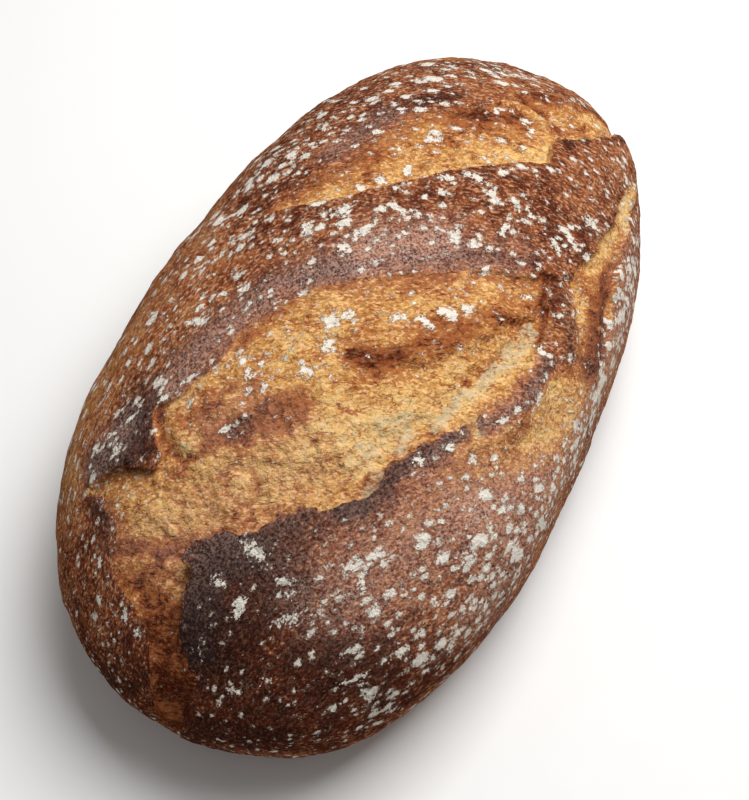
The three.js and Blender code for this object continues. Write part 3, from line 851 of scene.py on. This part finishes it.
def quads_between(ring, next_ring):
    """Faces between two closed rings of vertex numbers."""
    return np.stack((ring, next_ring, np.roll(next_ring, -1), np.roll(ring, -1)), axis=-1)


def loaf_layout():
    """Map places of every vertex above the base, the faces as corner numbers, and the last ring's numbers."""
    count = CELLS_ACROSS + 1
    numbers = np.arange(count * count).reshape(count, count)
    corners = (numbers[:-1, :-1], numbers[:-1, 1:], numbers[1:, 1:], numbers[1:, :-1])
    quads = [np.stack(corners, axis=-1).reshape(-1, 4)]
    places = [top_grid().reshape(-1, 2)]
    ring = grid_edge(numbers)
    rim = places[0][ring]
    share = np.hypot(*(rim / HALF).T)[:, None]
    start = count * count
    for row in range(1, CELLS_DOWN + 1):
        fall = share + (FOOT / SIDE - share) * row / CELLS_DOWN
        places.append(rim / share * fall)
        below = start + np.arange(len(ring))
        quads.append(quads_between(ring, below))
        ring = below
        start += len(ring)
    return np.concatenate(places), np.concatenate(quads), ring


def closed_base(points, places, ring):
    """Rings of vertices that close the flat base inside its last ring, their map places, and their faces."""
    rim = points[ring] * (1, 1, 0)
    middle = rim.mean(axis=0)
    rim_places = places[ring]
    added, added_places, quads = [], [], []
    start = len(points)
    for step in range(1, BASE_RINGS + 1):
        share = 1 - step / (BASE_RINGS + 1)
        added.append(middle + (rim - middle) * share)
        added_places.append(rim_places * share)
        inner = start + np.arange(len(ring))
        quads.append(quads_between(ring, inner))
        ring = inner
        start += len(ring)
    added.append(middle[None])
    added_places.append(np.zeros((1, 2)))
    fan = [(a, start, b) for a, b in zip(ring.tolist(), np.roll(ring, -1).tolist())]
    return np.concatenate(added), np.concatenate(added_places), np.concatenate(quads), fan


def bake_map(mesh, places, base_places, first_base_face):
    """Texture places for every corner: the crust map with its side squeezed, and the base in a corner."""
    corners = np.zeros(len(mesh.loops), np.int32)
    mesh.loops.foreach_get("vertex_index", corners)
    share = np.concatenate((places, base_places)) / HALF
    away = np.hypot(*share.T)
    side = MAP_TOP + (away - 1) * (1 - MAP_TOP) / (FOOT / SIDE - 1)
    squeezed = np.where(away < 1, away * MAP_TOP, side)
    crust = 0.5 + MAP_RADIUS * share / np.maximum(away, 1e-6)[:, None] * squeezed[:, None]
    base = MAP_BASE + MAP_BASE_RADIUS * share / (FOOT / SIDE)
    first = mesh.polygons[first_base_face].loop_start
    uv = np.concatenate((crust[corners[:first]], base[corners[first:]]))
    layer = mesh.uv_layers.new(name="OFBake")
    layer.data.foreach_set("uv", uv.astype(np.float32).ravel())


def loaf_mesh(shape):
    """The whole loaf's mesh, with a number at each point for everything that its finish needs to know."""
    places, quads, ring = loaf_layout()
    points, values = shaped(gathered(places), shape)
    base, base_places, base_quads, fan = closed_base(points, places, ring)
    mesh = bpy.data.meshes.new("sourdough_loaf")
    faces = np.concatenate((quads, base_quads)).tolist() + fan
    mesh.from_pydata(np.concatenate((points, base)) * MM, [], faces)
    mesh.polygons.foreach_set("use_smooth", np.ones(len(mesh.polygons), bool))
    for name, above in values.items():
        attribute = mesh.attributes.new(name, "FLOAT", "POINT")
        everywhere = np.concatenate((above, np.full(len(base), above[ring].mean())))
        attribute.data.foreach_set("value", everywhere.astype(np.float32))
    bake_map(mesh, places, base_places, len(quads))
    return mesh


# ---------------------------------------------------------------- building finishes
MIX_SOCKETS = {"FLOAT": (2, 3, 0), "VECTOR": (4, 5, 1), "RGBA": (6, 7, 2)}   # by kind: inputs and output
WAVE_GAIN = 2.2                  # brings the noise's usual range to 1


class Nodes:
    """Adds nodes to a tree: each call takes values or sockets for the inputs and returns the outputs."""

    def __init__(self, tree):
        self.tree = tree

    def add(self, kind, inputs=None, **settings):
        node = self.tree.nodes.new(kind)
        for name, value in settings.items():
            setattr(node, name, value)
        for name, value in (inputs or {}).items():
            self.give(node.inputs[name], value)
        return node.outputs

    def give(self, socket, value):
        if isinstance(value, bpy.types.NodeSocket):
            self.tree.links.new(value, socket)
        else:
            socket.default_value = value

    def math(self, operation, first, second=0.0, third=0.0):
        return self.add("ShaderNodeMath", {0: first, 1: second, 2: third}, operation=operation)[0]

    def plus(self, *terms):
        total = terms[0]
        for term in terms[1:]:
            total = self.math("ADD", total, term)
        return total

    def times(self, first, second):
        return self.math("MULTIPLY", first, second)

    def value(self, name):
        """A number kept at each point of the mesh."""
        return self.add("ShaderNodeAttribute", attribute_name=name)["Fac"]

    def noise(self, where, size, detail=2.0, rough=0.5, warp=0.0):
        """Smooth noise from 0 to 1, its lumps about size millimetres across."""
        inputs = {"Vector": where, "Scale": 1 / size, "Detail": detail, "Roughness": rough,
                  "Distortion": warp}
        return self.add("ShaderNodeTexNoise", inputs)["Fac"]

    def wave(self, where, size, height, detail=2.0, rough=0.5, warp=0.0):
        """Noise about zero, mostly within height / 2 either way."""
        noise = self.noise(where, size, detail, rough, warp)
        return self.math("MULTIPLY_ADD", noise, WAVE_GAIN * height, -WAVE_GAIN / 2 * height)

    def fade(self, x, low, high, to_low=0.0, to_high=1.0):
        """Goes smoothly from to_low, where x is low, to to_high, where x is high."""
        inputs = {"Value": x, "From Min": low, "From Max": high, "To Min": to_low, "To Max": to_high}
        return self.add("ShaderNodeMapRange", inputs, interpolation_type="SMOOTHSTEP")["Result"]

    def mix_kind(self, kind, share, first, second):
        a, b, result = MIX_SOCKETS[kind]
        return self.add("ShaderNodeMix", {"Factor": share, a: first, b: second}, data_type=kind)[result]

    def mix_places(self, share, first, second):
        """The first place where share is less than a half, and the second elsewhere."""
        return self.mix_kind("VECTOR", self.math("GREATER_THAN", share, 0.5), first, second)

    def mix(self, share, first, second):
        """The first number or colour where share is 0, the second where it is 1, and a mix between."""
        number = isinstance(first, (int, float)) or getattr(first, "type", "") == "VALUE"
        return self.mix_kind("FLOAT" if number else "RGBA", share, first, second)


NUMBER, COLOUR, PLACE = "NodeSocketFloat", "NodeSocketColor", "NodeSocketVector"


def new_group(name, inputs, outputs):
    """An empty shader node group with named sockets; inputs and outputs map names to socket kinds."""
    tree = bpy.data.node_groups.new(name, "ShaderNodeTree")
    for socket, kind in inputs.items():
        tree.interface.new_socket(socket, in_out="INPUT", socket_type=kind)
    for socket, kind in outputs.items():
        tree.interface.new_socket(socket, in_out="OUTPUT", socket_type=kind)
    nodes = Nodes(tree)
    return nodes, nodes.add("NodeGroupInput"), tree.nodes.new("NodeGroupOutput").inputs


def with_group(nodes, name, make, inputs):
    """Places a node group, built the first time it is wanted, and returns its outputs."""
    tree = bpy.data.node_groups.get(name) or make(name)
    return nodes.add("ShaderNodeGroup", inputs, node_tree=tree)


def new_material(name):
    """An empty material, and what adds nodes to it."""
    material = bpy.data.materials.new(name)
    material.use_nodes = True
    material.node_tree.nodes.clear()
    return material, Nodes(material.node_tree)


def place_in_mm(nodes):
    """Where each point of the surface is, in millimetres."""
    where = nodes.add("ShaderNodeTexCoord")["Object"]
    return nodes.add("ShaderNodeVectorMath", {0: where, "Scale": 1 / MM}, operation="SCALE")["Vector"]


def finish_surface(nodes, inputs):
    """The surface shader, joined to the material's output."""
    shader = nodes.add("ShaderNodeBsdfPrincipled", inputs)["BSDF"]
    nodes.add("ShaderNodeOutputMaterial", {"Surface": shader})


def opaque(colour):
    """A colour with the alpha that a socket wants."""
    return (*colour, 1)


# ---------------------------------------------------------------- node groups of the crust, crumb and flour
def bake_colour_group(name):
    """The colour of bread by how far it is baked, from 0 for pale crumb to 1 for charred crust."""
    nodes, given, out = new_group(name, {"Bake": NUMBER}, {"Color": COLOUR})
    ramp = nodes.tree.nodes.new("ShaderNodeValToRGB")
    stops = ramp.color_ramp.elements
    look = bpy.context.scene.bread_colours
    colours = (look.crumb, look.straw, look.gold, look.amber, look.chestnut, look.brown, look.dark_brown,
               look.charred)
    for place, colour in zip(BAKE_STEPS, colours):
        stop = stops[0] if place == 0 else stops[-1] if place == 1 else stops.new(place)
        stop.color = opaque(colour)
    nodes.give(ramp.inputs["Fac"], given["Bake"])
    nodes.give(out["Color"], ramp.outputs["Color"])
    return nodes.tree


def clumps(nodes, where, apart, share, largest):
    """How deep in a clump each place is, in millimetres, and less than 0 between clumps.

    The clumps are about apart from each other. Where share is high there are more of them, and larger
    ones."""
    cell = nodes.add("ShaderNodeTexVoronoi", {"Vector": where, "Scale": 1 / apart})
    chance = nodes.add("ShaderNodeSeparateColor", {"Color": cell["Color"]})["Red"]
    radius = nodes.times(nodes.plus(chance, share, -1.0), largest)
    return nodes.math("SUBTRACT", radius, nodes.times(cell["Distance"], apart))


def flour_group(name):
    """Sifted flour: clumps where Density is high, larger patches where Smear is, and how thick they are."""
    inputs = {"Vector": PLACE, "Grain": PLACE, "Density": NUMBER, "Smear": NUMBER}
    nodes, given, out = new_group(name, inputs, {"Mask": NUMBER, "Thickness": NUMBER})
    where, grain = given["Vector"], given["Grain"]
    density = nodes.plus(given["Density"], nodes.wave(where, size=9.0, height=0.3, detail=1.0))
    smear_edge = nodes.wave(grain, size=1.3, height=3.3, detail=3.0, rough=0.7)
    deepest = nodes.plus(nodes.times(given["Smear"], 3.6), smear_edge, -2.3)
    for apart, more, largest in FLOUR_CLUMPS:
        clump = clumps(nodes, grain, apart, nodes.plus(density, more), largest)
        deepest = nodes.math("MAXIMUM", deepest, clump)
    deep = nodes.plus(deepest, nodes.wave(where, size=1.4, height=2.0, detail=4.0, rough=0.75))
    film = nodes.times(nodes.fade(deep, low=-0.7, high=0.0), 0.10)
    flecks = nodes.times(nodes.fade(deep, low=-0.15, high=0.2), 0.80)
    uneven = nodes.plus(deep, nodes.wave(where, size=0.8, height=0.9, detail=2.0))
    nodes.give(out["Mask"], nodes.plus(film, flecks))
    nodes.give(out["Thickness"], nodes.fade(uneven, low=-0.5, high=0.5))
    return nodes.tree


def along_slashes_group(name):
    """Places drawn out by Stretch along the slashes, which bend a little over the loaf's width."""
    nodes, given, out = new_group(name, {"Vector": PLACE, "Stretch": NUMBER}, {"Vector": PLACE})
    turned = nodes.add("ShaderNodeMapping", {"Vector": given["Vector"], "Rotation": (0, 0, SLASH_TURN)},
                       vector_type="TEXTURE")["Vector"]
    part = nodes.add("ShaderNodeSeparateXYZ", {"Vector": turned})
    bend = nodes.times(nodes.times(part["X"], part["X"]), SLASH_BEND)
    placed = {"X": nodes.math("DIVIDE", part["X"], given["Stretch"]), "Y": nodes.plus(part["Y"], bend),
              "Z": part["Z"]}
    nodes.give(out["Vector"], nodes.add("ShaderNodeCombineXYZ", placed)["Vector"])
    return nodes.tree


def grain_group(name):
    """Fine fibrous grain: a wave about zero, painted glints as light dashes, and dark pits between them."""
    nodes, given, out = new_group(name, {"Vector": PLACE}, {"Wave": NUMBER, "PaintedGlints": NUMBER, "Pits": NUMBER})
    where = given["Vector"]
    # painted highlights: where this noise is high, light dashes stand for glints of light on the grain
    light = nodes.noise(where, size=0.95, detail=1.0, rough=0.5)
    dark = nodes.noise(where, size=1.2, detail=2.0, rough=0.6, warp=0.5)
    nodes.give(out["Wave"], nodes.wave(where, size=1.5, height=1.0, detail=3.0, rough=0.7, warp=0.4))
    nodes.give(out["PaintedGlints"], nodes.fade(light, low=0.49, high=0.68))
    nodes.give(out["Pits"], nodes.fade(dark, low=0.47, high=0.34))
    return nodes.tree


# ---------------------------------------------------------------- parts of the crust's finish
def torn_way(nodes, where, stretch):
    """Places drawn out by stretch the way the torn crumb is."""
    inputs = {"Vector": where, "Rotation": (0, 0, CRUMB_TURN), "Scale": (stretch, 1, 1)}
    return nodes.add("ShaderNodeMapping", inputs, vector_type="TEXTURE")["Vector"]


def opened_share(nodes, where):
    """0 on crust and 1 on open crumb, with an edge that is sharp at torn edges and soft elsewhere."""
    edge = nodes.plus(nodes.value("opening"), nodes.wave(where, size=1.8, height=0.8, detail=3.0))
    softened = nodes.math("DIVIDE", edge, nodes.value("softness"))
    return nodes.fade(nodes.plus(softened, nodes.wave(where, size=5.0, height=0.7, detail=3.0)), -1.0, 1.0)


def crust_bake(nodes, where):
    """How far the crust is baked, over its broad patches and its small mottle."""
    patches = nodes.wave(where, size=24.0, height=0.16, detail=2.0)
    mottle = nodes.wave(where, size=6.0, height=0.18, detail=3.0)
    return nodes.plus(nodes.value("crust_bake"), CRUST_BAKE, patches, mottle)


def creases(nodes, drawn_out, where, size, width, patch_size, patch):
    """Patches of fine wavy lines, 1 in their middle, where smooth noise passes its middle value."""
    away = nodes.plus(nodes.noise(drawn_out, size, detail=2.0, rough=0.6, warp=0.3), -0.5)
    line = nodes.fade(nodes.math("ABSOLUTE", away), width, 0.0)
    return nodes.times(line, nodes.fade(nodes.noise(where, patch_size, detail=2.0), *patch))


def open_bake(nodes, where):
    """How far the torn crumb is baked, and the height of its skin's blisters and creases, in millimetres."""
    along = torn_way(nodes, where, stretch=1.8)
    longer = torn_way(nodes, where, stretch=3.0)
    short = creases(nodes, along, where, size=2.4, width=0.05, patch_size=3.0, patch=(0.40, 0.56))
    long = creases(nodes, longer, where, size=4.5, width=0.03, patch_size=7.0, patch=(0.46, 0.60))
    lines = nodes.plus(nodes.times(short, 0.5), nodes.times(long, 0.8))
    skin = clumps(nodes, where, apart=7.0, share=0.45, largest=6.0)
    skin = nodes.plus(skin, nodes.wave(where, size=2.0, height=0.9, detail=2.0))
    rim = nodes.fade(nodes.math("ABSOLUTE", skin), 0.50, 0.0)
    dome = nodes.fade(skin, 0.0, 1.5)
    large = nodes.value("blister")
    large_rim = nodes.times(nodes.fade(large, -0.2, -1.0), 0.16)
    large_dome = nodes.times(nodes.fade(large, 0.0, 0.5), -0.08)
    patches = nodes.wave(where, size=16.0, height=0.22, detail=2.0)
    streaks = nodes.wave(along, size=5.0, height=0.30, detail=3.0, rough=0.6)
    bake = nodes.plus(nodes.value("open_bake"), OPEN_BAKE, patches, streaks, nodes.times(lines, 0.30),
                      nodes.times(rim, 0.14), nodes.times(dome, -0.12), nodes.plus(large_rim, large_dome))
    height = nodes.plus(nodes.times(dome, 0.5), nodes.times(lines, -0.12))
    return nodes.math("MINIMUM", bake, MOST_OPEN_BAKE), height


def pale_share(nodes, across):
    """Where patches of hardly baked crumb show."""
    uneven = nodes.wave(across, size=2.4, height=2.0, detail=3.0, rough=0.7)
    return nodes.fade(nodes.times(nodes.value("pale"), nodes.plus(1.0, uneven)), 0.30, 0.90)


def burnt_share(nodes, across, opened):
    """Where the crust is nearly burnt, and less so on open crumb."""
    uneven = nodes.wave(across, size=2.6, height=0.6, detail=4.0, rough=0.65)
    burnt = nodes.fade(nodes.plus(nodes.value("charcoal"), uneven), 0.15, 0.85)
    return nodes.times(burnt, nodes.mix(opened, 1.0, 0.35))


def veil_and_sheen_share(nodes, where, opened):
    """A thin speckled film of flour, partly painted sheen, with a little of it all over the crust."""
    dust_and_sheen = nodes.times(nodes.value("dust_and_sheen"), nodes.mix(opened, 1.0, 0.6))
    dust_and_sheen_amount = nodes.plus(dust_and_sheen, nodes.mix(opened, 0.03, 0.0))
    specks = nodes.noise(where, size=0.9, detail=2.0, rough=0.7)
    veil_and_sheen = nodes.times(dust_and_sheen_amount, nodes.fade(specks, low=0.38, high=0.64, to_low=0.08, to_high=1.0))
    return nodes.math("MINIMUM", veil_and_sheen, 0.8)


def sifted_flour(nodes, where, along, opened):
    """Clumps and smears of flour, less thick on open crumb."""
    amount = bpy.context.scene.bread_flour.amount
    density = nodes.plus(nodes.value("flour"), amount, nodes.times(opened, -0.12))
    inputs = {"Vector": where, "Grain": along, "Density": density, "Smear": nodes.value("smear")}
    return with_group(nodes, "sifted_flour", flour_group, inputs)


def crust_material():
    """Baked crust and crumb, pitted, with painted glints, under flour flecks and a film partly painted sheen.
    """
    material, nodes = new_material("baked_crust")
    look = bpy.context.scene.bread_colours
    where = place_in_mm(nodes)
    drawn_out = {"Vector": where, "Stretch": 1.5}
    along = with_group(nodes, "along_slashes", along_slashes_group, drawn_out)["Vector"]
    across = torn_way(nodes, where, stretch=1.5)
    opened = opened_share(nodes, where)
    grain_way = nodes.mix_places(opened, along, across)
    grain = with_group(nodes, "bread_grain", grain_group, {"Vector": grain_way})
    crumb_bake, skin = open_bake(nodes, where)
    pale = pale_share(nodes, across)
    burnt = burnt_share(nodes, across, opened)
    flour = sifted_flour(nodes, where, along, opened)

    # colour
    bake = nodes.plus(nodes.mix(opened, crust_bake(nodes, where), crumb_bake),
                      nodes.times(grain["Wave"], nodes.mix(opened, 0.36, 0.22)))
    colour = with_group(nodes, "bake_colour", bake_colour_group, {"Bake": bake})["Color"]
    colour = nodes.mix(nodes.times(pale, nodes.mix(opened, 0.0, 0.85)), colour, opaque(look.crumb))
    colour = nodes.mix(nodes.times(burnt, 0.92), colour, opaque(look.charcoal))
    pits = nodes.times(grain["Pits"], nodes.fade(pale, 0.0, 1.0, to_low=0.60, to_high=0.30))
    colour = nodes.mix(pits, colour, nodes.mix(opened, opaque(look.charred), opaque(look.crumb_pit)))
    # Painted highlights: light dashes stand for glints of light on the glossy grain, fewer where it is dark
    darkened = nodes.mix(opened, nodes.fade(bake, 0.62, 0.90), nodes.fade(bake, 0.38, 0.60))
    painted_glint_strength = nodes.mix(burnt, nodes.fade(darkened, 0.0, 1.0, to_low=0.64, to_high=0.10), 0.11)
    painted_glint_colour = nodes.mix(opened, opaque(look.crust_painted_glint), opaque(look.crumb_painted_glint))
    colour = nodes.mix(nodes.times(grain["PaintedGlints"], painted_glint_strength), colour, painted_glint_colour)
    # a film of flour that is partly a painted sheen of light
    colour = nodes.mix(veil_and_sheen_share(nodes, where, opened), colour, opaque(look.veil_and_sheen))
    flour_colour = nodes.mix(flour["Thickness"], opaque(look.flour_film), opaque(look.flour))
    colour = nodes.mix(flour["Mask"], colour, flour_colour)

    # roughness, and height in millimetres
    rough = nodes.mix(opened, nodes.fade(grain["Wave"], -0.4, 0.4, to_low=0.60, to_high=0.42), 0.62)
    rough = nodes.mix(flour["Mask"], rough, 0.9)
    height = nodes.plus(nodes.times(grain["Wave"], nodes.mix(opened, 0.5, 0.2)),
                        nodes.wave(where, size=3.2, height=0.7, detail=3.0, rough=0.6),
                        nodes.times(skin, opened), nodes.times(flour["Thickness"], 0.25))
    bump = nodes.add("ShaderNodeBump", {"Height": height, "Distance": MM, "Strength": 1.0})["Normal"]
    finish_surface(nodes, {"Base Color": colour, "Roughness": rough, "Normal": bump,
                           "Specular IOR Level": 0.0})
    return material


def floor_material(colour):
    """A plain pale floor, almost evenly rough."""
    material, nodes = new_material("studio_floor")
    uneven = nodes.noise(place_in_mm(nodes), size=12.0, detail=3.0)
    rough = nodes.fade(uneven, 0.3, 0.7, to_low=0.75, to_high=0.85)
    finish_surface(nodes, {"Base Color": opaque(colour), "Roughness": rough})
    return material


# ---------------------------------------------------------------- what a user would change
def share_property(name, description, most):
    """A slider for a share, 1 as baked."""
    return bpy.props.FloatProperty(name=name, description=description, default=1.0, min=0, max=most,
                                   subtype="FACTOR")


def colour_property(name, description, srgb):
    """A colour, given as red, green and blue from 0 to 255."""
    linear = [(c / 255 / 12.92) if c <= 10 else ((c / 255 + 0.055) / 1.055) ** 2.4 for c in srgb]
    return bpy.props.FloatVectorProperty(name=name, description=description, default=linear, size=3,
                                         min=0, max=1, subtype="COLOR")


class LoafShape(bpy.types.PropertyGroup):
    lip_lift: share_property("Lip lift", "How far the torn edges stand up, as a share", 1.5)
    tear_depth: share_property("Tear depth", "How deep the openings are, as a share", 1.5)
    wrinkles: share_property("Wrinkles", "How rough the crust is, as a share", 2)
    crumb_relief: share_property("Crumb relief", "How lumpy the torn crumb is, as a share", 2)


class BreadColours(bpy.types.PropertyGroup):
    crumb: colour_property("Crumb", "Palest crumb, hardly baked", (178, 164, 132))
    straw: colour_property("Straw", "Crumb at the palest edge of the tear", (206, 171, 109))
    gold: colour_property("Gold", "Lightly browned skin of the tear", (186, 139, 79))
    amber: colour_property("Amber", "Browned skin of the tear", (160, 107, 57))
    chestnut: colour_property("Chestnut", "The lightest crust", (146, 86, 48))
    brown: colour_property("Brown", "Most of the crust", (115, 60, 34))
    dark_brown: colour_property("Dark brown", "Dark crust along the tear", (75, 31, 17))
    charred: colour_property("Charred", "The darkest edge of the crust", (44, 19, 12))
    charcoal: colour_property("Charcoal", "Nearly burnt crust along the torn edges", (40, 28, 29))
    # Painted highlights: light dashes that stand for glints of light on the crust and on the crumb
    crust_painted_glint: colour_property("Crust glint", "Small light grains on the crust", (200, 152, 118))
    crumb_painted_glint: colour_property("Crumb glint", "Small light grains on the crumb", (224, 180, 136))
    crumb_pit: colour_property("Crumb pit", "Small dark grains on the crumb", (122, 66, 30))
    # Partly a film of flour, partly a painted sheen of light on the crust
    veil_and_sheen: colour_property("Veil", "Thin film of flour on the crust", (184, 151, 138))
    flour: colour_property("Flour", "Flecks of flour", (213, 207, 195))
    flour_film: colour_property("Flour film", "Flour where it lies thin", (192, 166, 146))


class BreadFlour(bpy.types.PropertyGroup):
    amount: bpy.props.FloatProperty(name="Flour", description="How much flour is sifted on",
                                    default=0.29, min=-1, max=1)


class BreadStudio(bpy.types.PropertyGroup):
    floor_colour: colour_property("Floor", "Colour of the floor", (222, 221, 219))
    floor_width: bpy.props.FloatProperty(
        name="Floor width", description="Width of the square floor", default=6.0, min=1, unit="LENGTH")
    lens: bpy.props.FloatProperty(
        name="Lens", description="Focal length of the camera in millimetres", default=76.485, min=20)
    distance: bpy.props.FloatProperty(
        name="Distance", description="From the camera to the loaf", default=0.6, min=0.2, unit="LENGTH")
    height_angle: bpy.props.FloatProperty(
        name="Height angle", description="How steeply the camera looks down", default=np.radians(60), min=0,
        max=1.57, unit="ROTATION")
    turn_angle: bpy.props.FloatProperty(
        name="Turn angle", description="Where the camera stands round the loaf",
        default=np.radians(-63.5), unit="ROTATION")
    light_power: bpy.props.FloatProperty(
        name="Light", description="Power of the large soft light overhead in watts", default=10.5, min=0)
    fill: bpy.props.FloatProperty(
        name="Fill", description="Even light from all round", default=0.30, min=0)


# ---------------------------------------------------------------- operators
class BREAD_OT_loaf(bpy.types.Operator):
    """Builds the slashed and torn loaf in place of its plain solid"""
    bl_idname = "bread.loaf"
    bl_label = "Loaf"

    def execute(self, context):
        piece = bpy.data.objects.new("sourdough_loaf", loaf_mesh(context.scene.bread_shape))
        context.collection.objects.link(piece)
        piece.data.materials.append(crust_material())
        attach(piece, "root")
        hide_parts("loaf")
        return {"FINISHED"}


def add_floor(studio):
    bpy.ops.mesh.primitive_plane_add(size=studio.floor_width)
    floor = bpy.context.object
    floor.name = "studio_floor"
    floor.data.materials.append(floor_material(studio.floor_colour))


def aimed(name, data, place, target):
    """An object at a place, turned to look at a target."""
    thing = bpy.data.objects.new(name, data)
    thing.location = place
    thing.rotation_euler = (Vector(target) - Vector(place)).to_track_quat("-Z", "Y").to_euler()
    bpy.context.collection.objects.link(thing)
    return thing


def add_light(name, power):
    lamp = bpy.data.lights.new(name, "AREA")
    lamp.energy = power
    lamp.size = LIGHT_SIZE
    aimed(name, lamp, KEY_LIGHT, LIGHT_TARGET)


def add_camera(studio):
    turn, height = studio.turn_angle, studio.height_angle
    back = Vector((np.sin(turn) * np.cos(height), -np.cos(turn) * np.cos(height), np.sin(height)))
    lens = bpy.data.cameras.new("studio_camera")
    lens.lens = studio.lens
    lens.clip_start = 0.01
    camera = aimed("studio_camera", lens, CAMERA_TARGET + back * studio.distance, CAMERA_TARGET)
    bpy.context.scene.camera = camera


class BREAD_OT_studio(bpy.types.Operator):
    """Adds the pale floor, the soft light and the camera"""
    bl_idname = "bread.studio"
    bl_label = "Studio"

    def execute(self, context):
        scene = context.scene
        studio = scene.bread_studio
        add_floor(studio)
        add_light("key_light", studio.light_power)
        world = bpy.data.worlds.new("studio_world")
        world.use_nodes = True
        background = world.node_tree.nodes["Background"]
        background.inputs["Color"].default_value = (1, 1, 1, 1)
        background.inputs["Strength"].default_value = studio.fill
        scene.world = world
        scene.view_settings.view_transform = "Standard"
        add_camera(studio)
        return {"FINISHED"}


class BREAD_PT_panel(bpy.types.Panel):
    """Lists the bread's sizes, colours and pieces"""
    bl_label = "Sourdough Loaf"
    bl_idname = "BREAD_PT_panel"
    bl_space_type = "VIEW_3D"
    bl_region_type = "UI"
    bl_category = "Bread"

    def draw(self, context):
        scene = context.scene
        for settings in (scene.bread_shape, scene.bread_colours, scene.bread_flour, scene.bread_studio):
            box = self.layout.box()
            for name in settings.__annotations__:
                box.prop(settings, name)
        for step in STEPS:
            self.layout.operator(step.bl_idname)


SETTINGS = {
    "bread_shape": LoafShape,
    "bread_colours": BreadColours,
    "bread_flour": BreadFlour,
    "bread_studio": BreadStudio,
}
STEPS = (BREAD_OT_loaf, BREAD_OT_studio)


def register():
    for kind in (*SETTINGS.values(), *STEPS, BREAD_PT_panel):
        bpy.utils.register_class(kind)
    for name, kind in SETTINGS.items():
        setattr(bpy.types.Scene, name, bpy.props.PointerProperty(type=kind))


def unregister():
    for name in SETTINGS:
        delattr(bpy.types.Scene, name)
    for kind in (BREAD_PT_panel, *STEPS, *SETTINGS.values()):
        bpy.utils.unregister_class(kind)


def main():
    register()
    bpy.ops.bread.loaf()
    bpy.ops.bread.studio()


if __name__ == "__main__":
    main()
